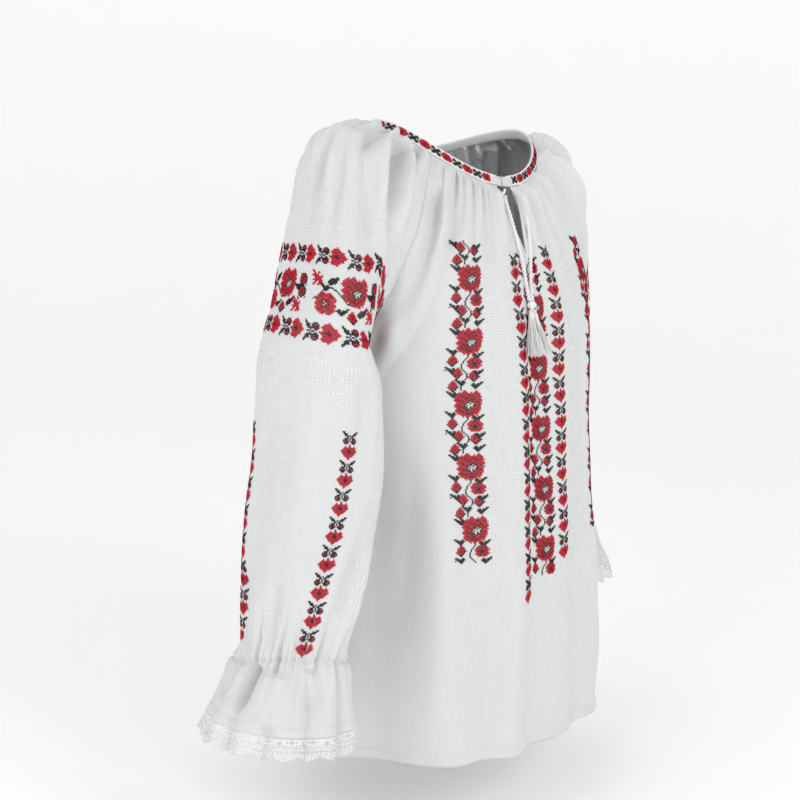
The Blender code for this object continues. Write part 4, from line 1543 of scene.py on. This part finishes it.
def row_chart():
    """One repeat of the narrow border beside the wide one, round a sleeve."""
    lines = plain_chart(SMALL).T
    return lines[:, np.round(np.linspace(0, 17, 22)).astype(int)]


def plain_chart(text):
    return np.array([list(line) for line in text.split()])


def white_chart(canvas):
    """The same motif in white thread, left open so that it only shows as a texture."""
    rows, cols = np.indices(canvas.shape)
    return np.where((canvas != ".") & (rows % 2 == 0) & (cols % 2 == 0), "w", ".")


# Where a line of stitches runs
def arc_steps(points, axis):
    """Length so far along one axis of a grid of points."""
    steps = np.linalg.norm(np.diff(points, axis=axis), axis=-1)
    start = np.zeros_like(np.take(steps, [0], axis))
    return np.concatenate((start, np.cumsum(steps, axis=axis)), axis=axis)


def body_place(face, x, z):
    """The panel place whose plain form has this x and z."""
    x, z = np.broadcast_arrays(np.asarray(x, float), np.asarray(z, float))
    fall = np.interp(-z, (0.055, -UNDERARM_Z, -HEM_Z), (0.0, 1.0, 2.0))
    across = x / 0.27
    small = 1e-4
    for turn in range(13):
        share = 1.0 if turn < 5 else 0.7
        here = body_forms(face, across, fall)
        aside = (body_forms(face, across + small, fall) - here) / small
        below = (body_forms(face, across, fall + small) - here) / small
        gap_x, gap_z = x - here[..., 0], z - here[..., 2]
        area = aside[..., 0] * below[..., 2] - aside[..., 2] * below[..., 0]
        area = np.where(np.abs(area) < 1e-6, 1e-6, area)
        step = (gap_x * below[..., 2] - gap_z * below[..., 0]) / area
        across = across + share * np.clip(step, -0.2, 0.2)
        step = (aside[..., 0] * gap_z - aside[..., 2] * gap_x) / area
        fall = fall + share * np.clip(step, -0.2, 0.2)
        across, fall = np.clip(across, -1, 1), np.clip(fall, 0, 2)
    return across, fall


def drawn_in(z):
    """How much the neck's gathers narrow the front at a height."""
    return np.interp(-z, (0.060, 0.104, 0.140, 0.200), (0.62, 0.82, 0.90, 1.0))


def body_lattice(face, route, rows, cols, cell, spread=1.0):
    """Cell corners of an upright border on a body panel."""
    z = np.linspace(route[0][1], HEM_Z + 0.012, 400)
    x = np.interp(-z, [-place[1] for place in route], [place[0] for place in route])
    line = body_forms(face, *body_place(face, x, z))
    along = arc_steps(line, 0)
    spots = np.arange(rows + 1) * cell
    z, x = np.interp(spots, along, z), np.interp(spots, along, x)
    reach = cols * cell * 0.5 * spread
    fine = np.linspace(-1.25 * reach, 1.25 * reach, 21)
    grid_x, grid_z = x[:, None] + fine[None], z[:, None] + 0 * fine[None]
    across, fall = body_place(face, grid_x, grid_z)
    length = arc_steps(body_forms(face, across, fall), 1)
    length = length - length[:, 10:11]
    squeeze = (0.35 + 0.65 * drawn_in(z)) * spread
    wanted = (np.arange(cols + 1) - cols / 2) * cell
    place = np.stack(
        [np.interp(wanted * squeeze[row], length[row], grid_x[row]) for row in range(rows + 1)]
    )
    across, fall = body_place(face, place, z[:, None] + 0 * place)
    return body_sheet(face, across, fall)


def ring_lattice(name, middle, offset, rows, repeat, cell):
    """Cell corners of a border round a sleeve, offset down by metres, and their around."""
    around = np.linspace(-0.992, 0.992, 900)
    line = sleeve_forms(name, around, middle(around))
    along = arc_steps(line, 0)
    cols = round(along[-1] / cell / repeat) * repeat
    around = np.interp(np.linspace(0, along[-1], cols + 1), along, around)
    fine = np.linspace(-0.36, 0.36, 73)[:, None]
    down = middle(around)[None] + fine
    length = arc_steps(sleeve_forms(name, around[None] + 0 * down, down), 0)
    length = length - length[36:37]
    wanted = offset + (np.arange(rows + 1) - rows / 2) * cell
    down = np.stack(
        [np.interp(wanted, length[:, col], down[:, col]) for col in range(cols + 1)], 1
    )
    return sleeve_sheet(name, around[None] + 0 * down, down), around


# Rows of the sleeves' upright borders lie a little closer than their columns
SLEEVE_ROW_SHARE = 0.96


def sleeve_lattice(name, route, rows, cols, cell, spread=1.0):
    """Cell corners of an upright border down a sleeve."""
    down = np.linspace(route[0][1], 1.99, 400)
    around = np.interp(down, [place[1] for place in route], [place[0] for place in route])
    along = arc_steps(sleeve_forms(name, around, down), 0)
    spots = np.arange(rows + 1) * cell * SLEEVE_ROW_SHARE
    down, around = np.interp(spots, along, down), np.interp(spots, along, around)
    fine = np.linspace(-0.22, 0.22, 45)[None]
    grid = around[:, None] + fine
    length = arc_steps(sleeve_forms(name, grid, down[:, None] + 0 * grid), 1)
    length = length - length[:, 22:23]
    wanted = (np.arange(cols + 1) - cols / 2) * cell * spread
    place = np.stack([np.interp(wanted, length[row], grid[row]) for row in range(rows + 1)])
    return sleeve_sheet(name, place, down[:, None] + 0 * place)


def band_lattice(cell_along, cells_up, margin):
    """Cell corners of the border on the neckband."""
    start, stop = band_ends()
    turn = np.linspace(start, stop, 2000)
    along = arc_steps(band_face(turn, np.full_like(turn, BAND_HEIGHT / 2)), 0)
    cols = int((along[-1] - 2 * BAND_PLAIN) / cell_along)
    first = (along[-1] - cols * cell_along) / 2
    turn = np.interp(first + np.arange(cols + 1) * cell_along, along, turn)
    up = np.linspace(BAND_HEIGHT - margin, margin, cells_up + 1)
    return band_face(turn[:, None] + 0 * up[None], up[None] + 0 * turn[:, None])


STITCH_WIDTH = 0.23
STITCH_LIFT = 0.00016
STITCH_HEIGHT = 0.00034
WHITE_HEIGHT = 0.00032


def stitches(corners, chart, side=1.0):
    """Crossed threads over every marked cell: two roof-shaped strips each.

    Returns their points, faces and marks. The chart repeats over the corners' grid, and
    side turns the cloth's outside to the right way.
    """
    rows, cols = corners.shape[0] - 1, corners.shape[1] - 1
    row, col = np.indices((rows, cols))
    marks = chart[row % chart.shape[0], col % chart.shape[1]]
    marked = marks != "."
    north_west, north_east = corners[:-1, :-1][marked], corners[:-1, 1:][marked]
    south_west, south_east = corners[1:, :-1][marked], corners[1:, 1:][marked]
    marks = marks[marked]
    out = np.cross(south_east - north_west, north_east - south_west) * side
    out /= np.maximum(np.linalg.norm(out, axis=1, keepdims=True), 1e-12)
    points, faces = [], []
    count = len(marks)
    for layer, (start, end) in enumerate(((north_west, south_east), (north_east, south_west))):
        run = end - start
        start, end = start + run * 0.03, end - run * 0.03
        aside = np.cross(out, run)
        aside *= STITCH_WIDTH * 0.72
        base = out * STITCH_LIFT
        height = np.where(marks == "w", WHITE_HEIGHT, STITCH_HEIGHT)[:, None]
        ridge = out * (STITCH_LIFT + height * (1 + 0.35 * layer))
        own = np.stack(
            (start + aside + base, start + ridge, start - aside + base,
             end + aside + base, end + ridge, end - aside + base), 1
        )
        points.append(own.reshape(-1, 3))
        first = (np.arange(count) * 6 + layer * count * 6)[:, None, None]
        faces.append((first + np.array(((0, 3, 4, 1), (1, 4, 5, 2)))).reshape(-1, 4))
    return np.concatenate(points), np.concatenate(faces), np.tile(np.repeat(marks, 2), 2)


def stitched_piece(name, fields):
    """One embroidery piece from several bordered fields."""
    made = cloth_materials()
    kinds = ("r", "d", "k", "w")
    points, faces, marks, start = [], [], [], 0
    for field_points, field_faces, field_marks in fields:
        points.append(field_points)
        faces.append(field_faces + start)
        marks.append(field_marks)
        start += len(field_points)
    marks = np.concatenate(marks)
    slots = np.zeros(len(marks), int)
    for number, kind in enumerate(kinds):
        slots[marks == kind] = number
    threads = [made[thread] for thread in ("red", "wine", "black", "white")]
    return mesh_piece(
        name, np.concatenate(points), np.concatenate(faces), threads, slots, smooth=False
    )


# Rows of the wide borders lie a little closer than their columns
WIDE_ROW_SHARE = 0.93
# Routes of the front's borders: (x, z) from the top, then how many cells down
WIDE_LEFT = ((0.106, -0.100), (0.117, -0.140), (0.124, -0.200), (0.124, -0.440))
WIDE_RIGHT = ((-0.088, -0.103), (-0.094, -0.140), (-0.099, -0.200), (-0.098, -0.440))
NARROW_LEFT = ((0.031, -0.112), (0.035, -0.160), (0.037, -0.440))
NARROW_RIGHT = ((-0.024, -0.120), (-0.030, -0.160), (-0.031, -0.470))
CENTRE = ((-0.001, -0.118), (0.000, -0.470))
WHITE_LEFT = ((0.064, -0.106), (0.078, -0.160), (0.082, -0.460))
WHITE_RIGHT = ((-0.040, -0.100), (-0.056, -0.180), (-0.064, -0.460))
# Routes of a sleeve's borders: (around, down), for the right sleeve
SLEEVE_RED = (
    ((-0.265, 1.260), (-0.245, 1.387), (-0.225, 1.533), (-0.205, 1.660), (-0.180, 1.790)),
    ((0.355, 1.260), (0.345, 1.500), (0.338, 1.790)),
    ((-0.800, 1.260), (-0.780, 1.500), (-0.740, 1.790)),
    ((0.900, 1.260), (0.860, 1.500), (0.800, 1.790)),
)
SLEEVE_OUT = {"right": 1.0, "left": -1.0}
SLEEVE_WHITE = (
    ((0.105, 1.240), (0.075, 1.450), (0.050, 1.633), (0.050, 1.790)),
    ((-0.520, 1.240), (-0.510, 1.500), (-0.480, 1.790)),
    ((0.640, 1.240), (0.620, 1.500), (0.590, 1.790)),
)


def sew_front():
    cell = bpy.context.scene.ie_stitches.cell
    fields = []
    small = plain_chart(SMALL)
    for route, rows, spread, shift in (
        (WIDE_LEFT, 230, 1.10, 19),
        (WIDE_RIGHT, 230, 1.20, 19),
        (CENTRE, 238, 1.02, 31),
    ):
        chart = wide_border(rows, shift)
        corners = body_lattice("front", route, rows, 26, cell * WIDE_ROW_SHARE, spread)
        fields.append(stitches(corners, chart))
    for route, rows, spread in ((NARROW_LEFT, 216, 1.25), (NARROW_RIGHT, 234, 1.0)):
        corners = body_lattice("front", route, rows, small.shape[1], cell, spread)
        fields.append(stitches(corners, small))
    white = white_chart(wide_border(252, 19))
    for route in (WHITE_LEFT, WHITE_RIGHT):
        corners = body_lattice("front", route, 252, 26, cell * WIDE_ROW_SHARE)
        fields.append(stitches(corners, white))
    return stitched_piece("embroidery_front", fields)


def sew_sleeve(name):
    cell = bpy.context.scene.ie_stitches.cell

    def middle(around):
        return 0.993 - 0.33 * np.minimum(around**2, 0.30)

    ring, row = ring_chart(), row_chart()
    fields = []
    plain = white_chart(ring)
    for chart, offset, spot, col in (
        (ring, 0.0, -0.295, 33),
        (row, -0.0375, -0.155, 16),
        (row, 0.0375, -0.135, 16),
        (plain, -0.080, -0.075, 33),
        (plain, 0.080, -0.075, 33),
    ):
        rows, repeat = chart.shape
        corners, around = ring_lattice(name, middle, offset, rows, repeat, cell)
        corners = corners[:, ::-1]
        start = int(np.argmin(np.abs(around[::-1] - spot)))
        chart = np.roll(chart, start - col, 1)
        fields.append(stitches(corners, chart, side=SLEEVE_OUT[name]))
    small = plain_chart(SMALL)
    white = white_chart(wide_border(132, 19))
    for routes, chart, rows, spread in (
        (SLEEVE_RED, small, 144, 0.80), (SLEEVE_WHITE, white, 132, 1.0)
    ):
        for route in routes:
            corners = sleeve_lattice(name, route, rows, chart.shape[1], cell, spread)
            fields.append(stitches(corners[:, ::-1], chart, side=SLEEVE_OUT[name]))
    return stitched_piece("embroidery_sleeve_" + name, fields)


def sew_band():
    corners = band_lattice(0.00140, 7, 0.0004)
    return stitched_piece("embroidery_band", [stitches(corners, plain_chart(NECK), side=-1.0)])


# Camera and studio
CAMERA_AZIMUTH = -50.67
CAMERA_DISTANCE = 1.67
CAMERA_HEIGHT = -0.021
CAMERA_PITCH = -0.161
CAMERA_YAW = 0.025
CAMERA_ROLL = 0.046
CAMERA_LENS = 68.67
FLOOR_Z = -0.72


def photo_camera():
    azimuth = math.radians(CAMERA_AZIMUTH)
    data = bpy.data.cameras.new("photo")
    data.sensor_width = 36.0
    data.lens = CAMERA_LENS
    data.clip_start = 0.05
    data.clip_end = 50.0
    camera = link(bpy.data.objects.new("photo", data))
    ahead = azimuth + CAMERA_YAW
    look = Vector((-math.sin(ahead), math.cos(ahead), 0.0)) * math.cos(CAMERA_PITCH)
    look.z = math.sin(CAMERA_PITCH)
    right = look.cross(Vector((0, 0, 1))).normalized()
    up = right.cross(look)
    cosine, sine = math.cos(CAMERA_ROLL), math.sin(CAMERA_ROLL)
    right, up = right * cosine + up * sine, up * cosine - right * sine
    place = Vector((math.sin(azimuth), -math.cos(azimuth), 0)) * CAMERA_DISTANCE
    place.z = CAMERA_HEIGHT
    turned = Matrix((right, up, -look)).transposed().to_4x4()
    camera.matrix_world = Matrix.Translation(place) @ turned
    bpy.context.scene.camera = camera
    return camera


# Where the lights stand, and the side one's power over the upper one's
KEY_PLACE = (-0.3, -2.9, 1.5)
SIDE_PLACE = (-2.9, -0.3, 1.0)
ABOVE_PLACE = (-0.6, 0.9, 2.2)
SIDE_SHARE = 2.8


def softbox(name, place, target, size, power):
    data = bpy.data.lights.new(name, "AREA")
    data.shape = "SQUARE"
    data.size = size
    data.energy = power
    light = link(bpy.data.objects.new(name, data))
    light.location = place
    toward = Vector(target) - Vector(place)
    light.rotation_euler = toward.to_track_quat("-Z", "Y").to_euler()
    return light


# The flat floor's reach, the bend up to the wall, the wall's height, and parts round it
SWEEP_REACH, SWEEP_BEND, SWEEP_HEIGHT, SWEEP_PARTS = 3.0, 1.6, 6.0, 96


def sweep_floor():
    """A pale round floor that curves up into a wall all round the blouse."""
    made = bpy.data.materials.new("studio paper")
    made.use_nodes = True
    shader = made.node_tree.nodes["Principled BSDF"]
    shader.inputs["Base Color"].default_value = (0.93, 0.93, 0.93, 1.0)
    shader.inputs["Roughness"].default_value = 0.9
    shader.inputs["Specular IOR Level"].default_value = 0.2
    shader.inputs["Emission Color"].default_value = (1.0, 1.0, 1.0, 1.0)
    shader.inputs["Emission Strength"].default_value = 0.21
    bend = np.linspace(0, math.pi / 2, 20)
    reach = SWEEP_REACH + SWEEP_BEND * np.sin(bend)
    reach = np.concatenate(((0.0004, 1.5), reach, (SWEEP_REACH + SWEEP_BEND,)))
    rise = np.concatenate(((0.0, 0.0), SWEEP_BEND * (1 - np.cos(bend)), (SWEEP_HEIGHT,)))
    turn = np.linspace(-math.pi, math.pi, SWEEP_PARTS, endpoint=False)[None]
    points = stack(
        reach[:, None] * np.cos(turn), reach[:, None] * np.sin(turn), FLOOR_Z + rise[:, None]
    )
    faces = quads(len(reach), SWEEP_PARTS, closed=True)
    return mesh_piece("studio_floor", points, faces, [made])


class IE_OT_studio(bpy.types.Operator):
    """Sets the camera, the soft lights and the pale floor"""

    bl_idname = "ie.studio"
    bl_label = "Studio"
    bl_options = {"REGISTER", "UNDO"}

    def execute(self, context):
        studio = context.scene.ie_studio
        photo_camera()
        target = (0.0, 0.0, -0.32)
        lights = (
            softbox("key", KEY_PLACE, target, 1.5, studio.key),
            softbox("side", SIDE_PLACE, target, 1.8, studio.fill * SIDE_SHARE),
            softbox("above", ABOVE_PLACE, target, 2.0, studio.fill),
        )
        world = bpy.data.worlds.new("pale surround")
        world.use_nodes = True
        sky = world.node_tree.nodes["Background"]
        sky.inputs["Color"].default_value = (1.0, 1.0, 1.0, 1.0)
        seen = world.node_tree.nodes.new("ShaderNodeLightPath").outputs["Is Camera Ray"]
        wire(
            world.node_tree,
            maths(world.node_tree, "MAXIMUM", seen, studio.sky),
            sky.inputs["Strength"],
        )
        context.scene.world = world
        context.scene.view_settings.view_transform = "Standard"
        sweep_floor()
        return {"FINISHED"}


# Cells of each cloth grid: across or around, then down
BODY_CELLS = {"front": (216, 150), "back": (152, 112)}
SLEEVE_CELLS = (208, 160)


def place_piece(piece, slot, *nodes):
    """Hands a piece to the frame: what it replaces and where it hangs. Its slot is not used."""
    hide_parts(*nodes)
    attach(piece, "root")
    return piece


class IE_OT_cords(bpy.types.Operator):
    """Makes the two twisted tie cords, their knot and their tassels"""

    bl_idname = "ie.cords"
    bl_label = "Cords and tassels"
    bl_options = {"REGISTER", "UNDO"}

    def execute(self, context):
        knot = place_piece(make_knot(), "cord", "cord_knot")
        for side in ("right", "left"):
            cord, line = make_cord(side)
            place_piece(cord, "cord", "cord_" + side)
            tassel = place_piece(make_tassel(side), "cord", "tassel_" + side)
        return {"FINISHED"}


class IE_OT_body(bpy.types.Operator):
    """Makes the gathered front and back"""

    bl_idname = "ie.body"
    bl_label = "Body panels"
    bl_options = {"REGISTER", "UNDO"}

    def execute(self, context):
        for face, (cols, rows) in BODY_CELLS.items():
            panel = place_piece(make_body(face, cols, rows), "cloth", face)
        place_piece(make_seams(), "cloth")
        return {"FINISHED"}


class IE_OT_sleeves(bpy.types.Operator):
    """Makes the two gathered sleeves down to the ruffles"""

    bl_idname = "ie.sleeves"
    bl_label = "Sleeves"
    bl_options = {"REGISTER", "UNDO"}

    def execute(self, context):
        for name in SIDES:
            sleeve = place_piece(make_sleeve(name, *SLEEVE_CELLS), "cloth", "sleeve_" + name)
        return {"FINISHED"}


class IE_OT_neckband(bpy.types.Operator):
    """Makes the neckband with its rolled edges"""

    bl_idname = "ie.neckband"
    bl_label = "Neckband"
    bl_options = {"REGISTER", "UNDO"}

    def execute(self, context):
        band, piping = make_band()
        place_piece(band, "band", "neckband")
        place_piece(piping, "cord")
        return {"FINISHED"}


class IE_OT_lace(bpy.types.Operator):
    """Makes the lace edging of both cuffs"""

    bl_idname = "ie.lace"
    bl_label = "Lace"
    bl_options = {"REGISTER", "UNDO"}

    def execute(self, context):
        for name in SIDES:
            lace = place_piece(make_lace(name), "lace", "lace_" + name)
        return {"FINISHED"}


class IE_OT_embroidery(bpy.types.Operator):
    """Sews the cross-stitch borders on the front, the sleeves and the neckband"""

    bl_idname = "ie.embroidery"
    bl_label = "Embroidery"
    bl_options = {"REGISTER", "UNDO"}

    def execute(self, context):
        for piece in (sew_front(), sew_sleeve("right"), sew_sleeve("left"), sew_band()):
            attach(piece, "root")
        return {"FINISHED"}


class IE_PT_blouse(bpy.types.Panel):
    """Lists the blouse's settings and pieces"""

    bl_label = "Romanian ie blouse"
    bl_idname = "IE_PT_blouse"
    bl_space_type = "VIEW_3D"
    bl_region_type = "UI"
    bl_category = "Ie blouse"

    def draw(self, context):
        for group in (
            context.scene.ie_cloth,
            context.scene.ie_stitches,
            context.scene.ie_studio,
        ):
            box = self.layout.box()
            for name in type(group).__annotations__:
                box.prop(group, name)
        for operator in OPERATORS:
            self.layout.operator(operator.bl_idname)


OPERATORS = (
    IE_OT_studio,
    IE_OT_cords,
    IE_OT_body,
    IE_OT_sleeves,
    IE_OT_neckband,
    IE_OT_lace,
    IE_OT_embroidery,
)
CLASSES = (IeCloth, IeStitches, IeStudio, *OPERATORS, IE_PT_blouse)


def register():
    for made in CLASSES:
        bpy.utils.register_class(made)
    bpy.types.Scene.ie_cloth = PointerProperty(type=IeCloth)
    bpy.types.Scene.ie_stitches = PointerProperty(type=IeStitches)
    bpy.types.Scene.ie_studio = PointerProperty(type=IeStudio)


def unregister():
    del bpy.types.Scene.ie_studio
    del bpy.types.Scene.ie_stitches
    del bpy.types.Scene.ie_cloth
    for made in reversed(CLASSES):
        bpy.utils.unregister_class(made)


def main():
    register()
    bpy.ops.ie.studio()
    bpy.ops.ie.cords()
    bpy.ops.ie.body()
    bpy.ops.ie.sleeves()
    bpy.ops.ie.neckband()
    bpy.ops.ie.lace()
    bpy.ops.ie.embroidery()


if __name__ == "__main__":
    main()
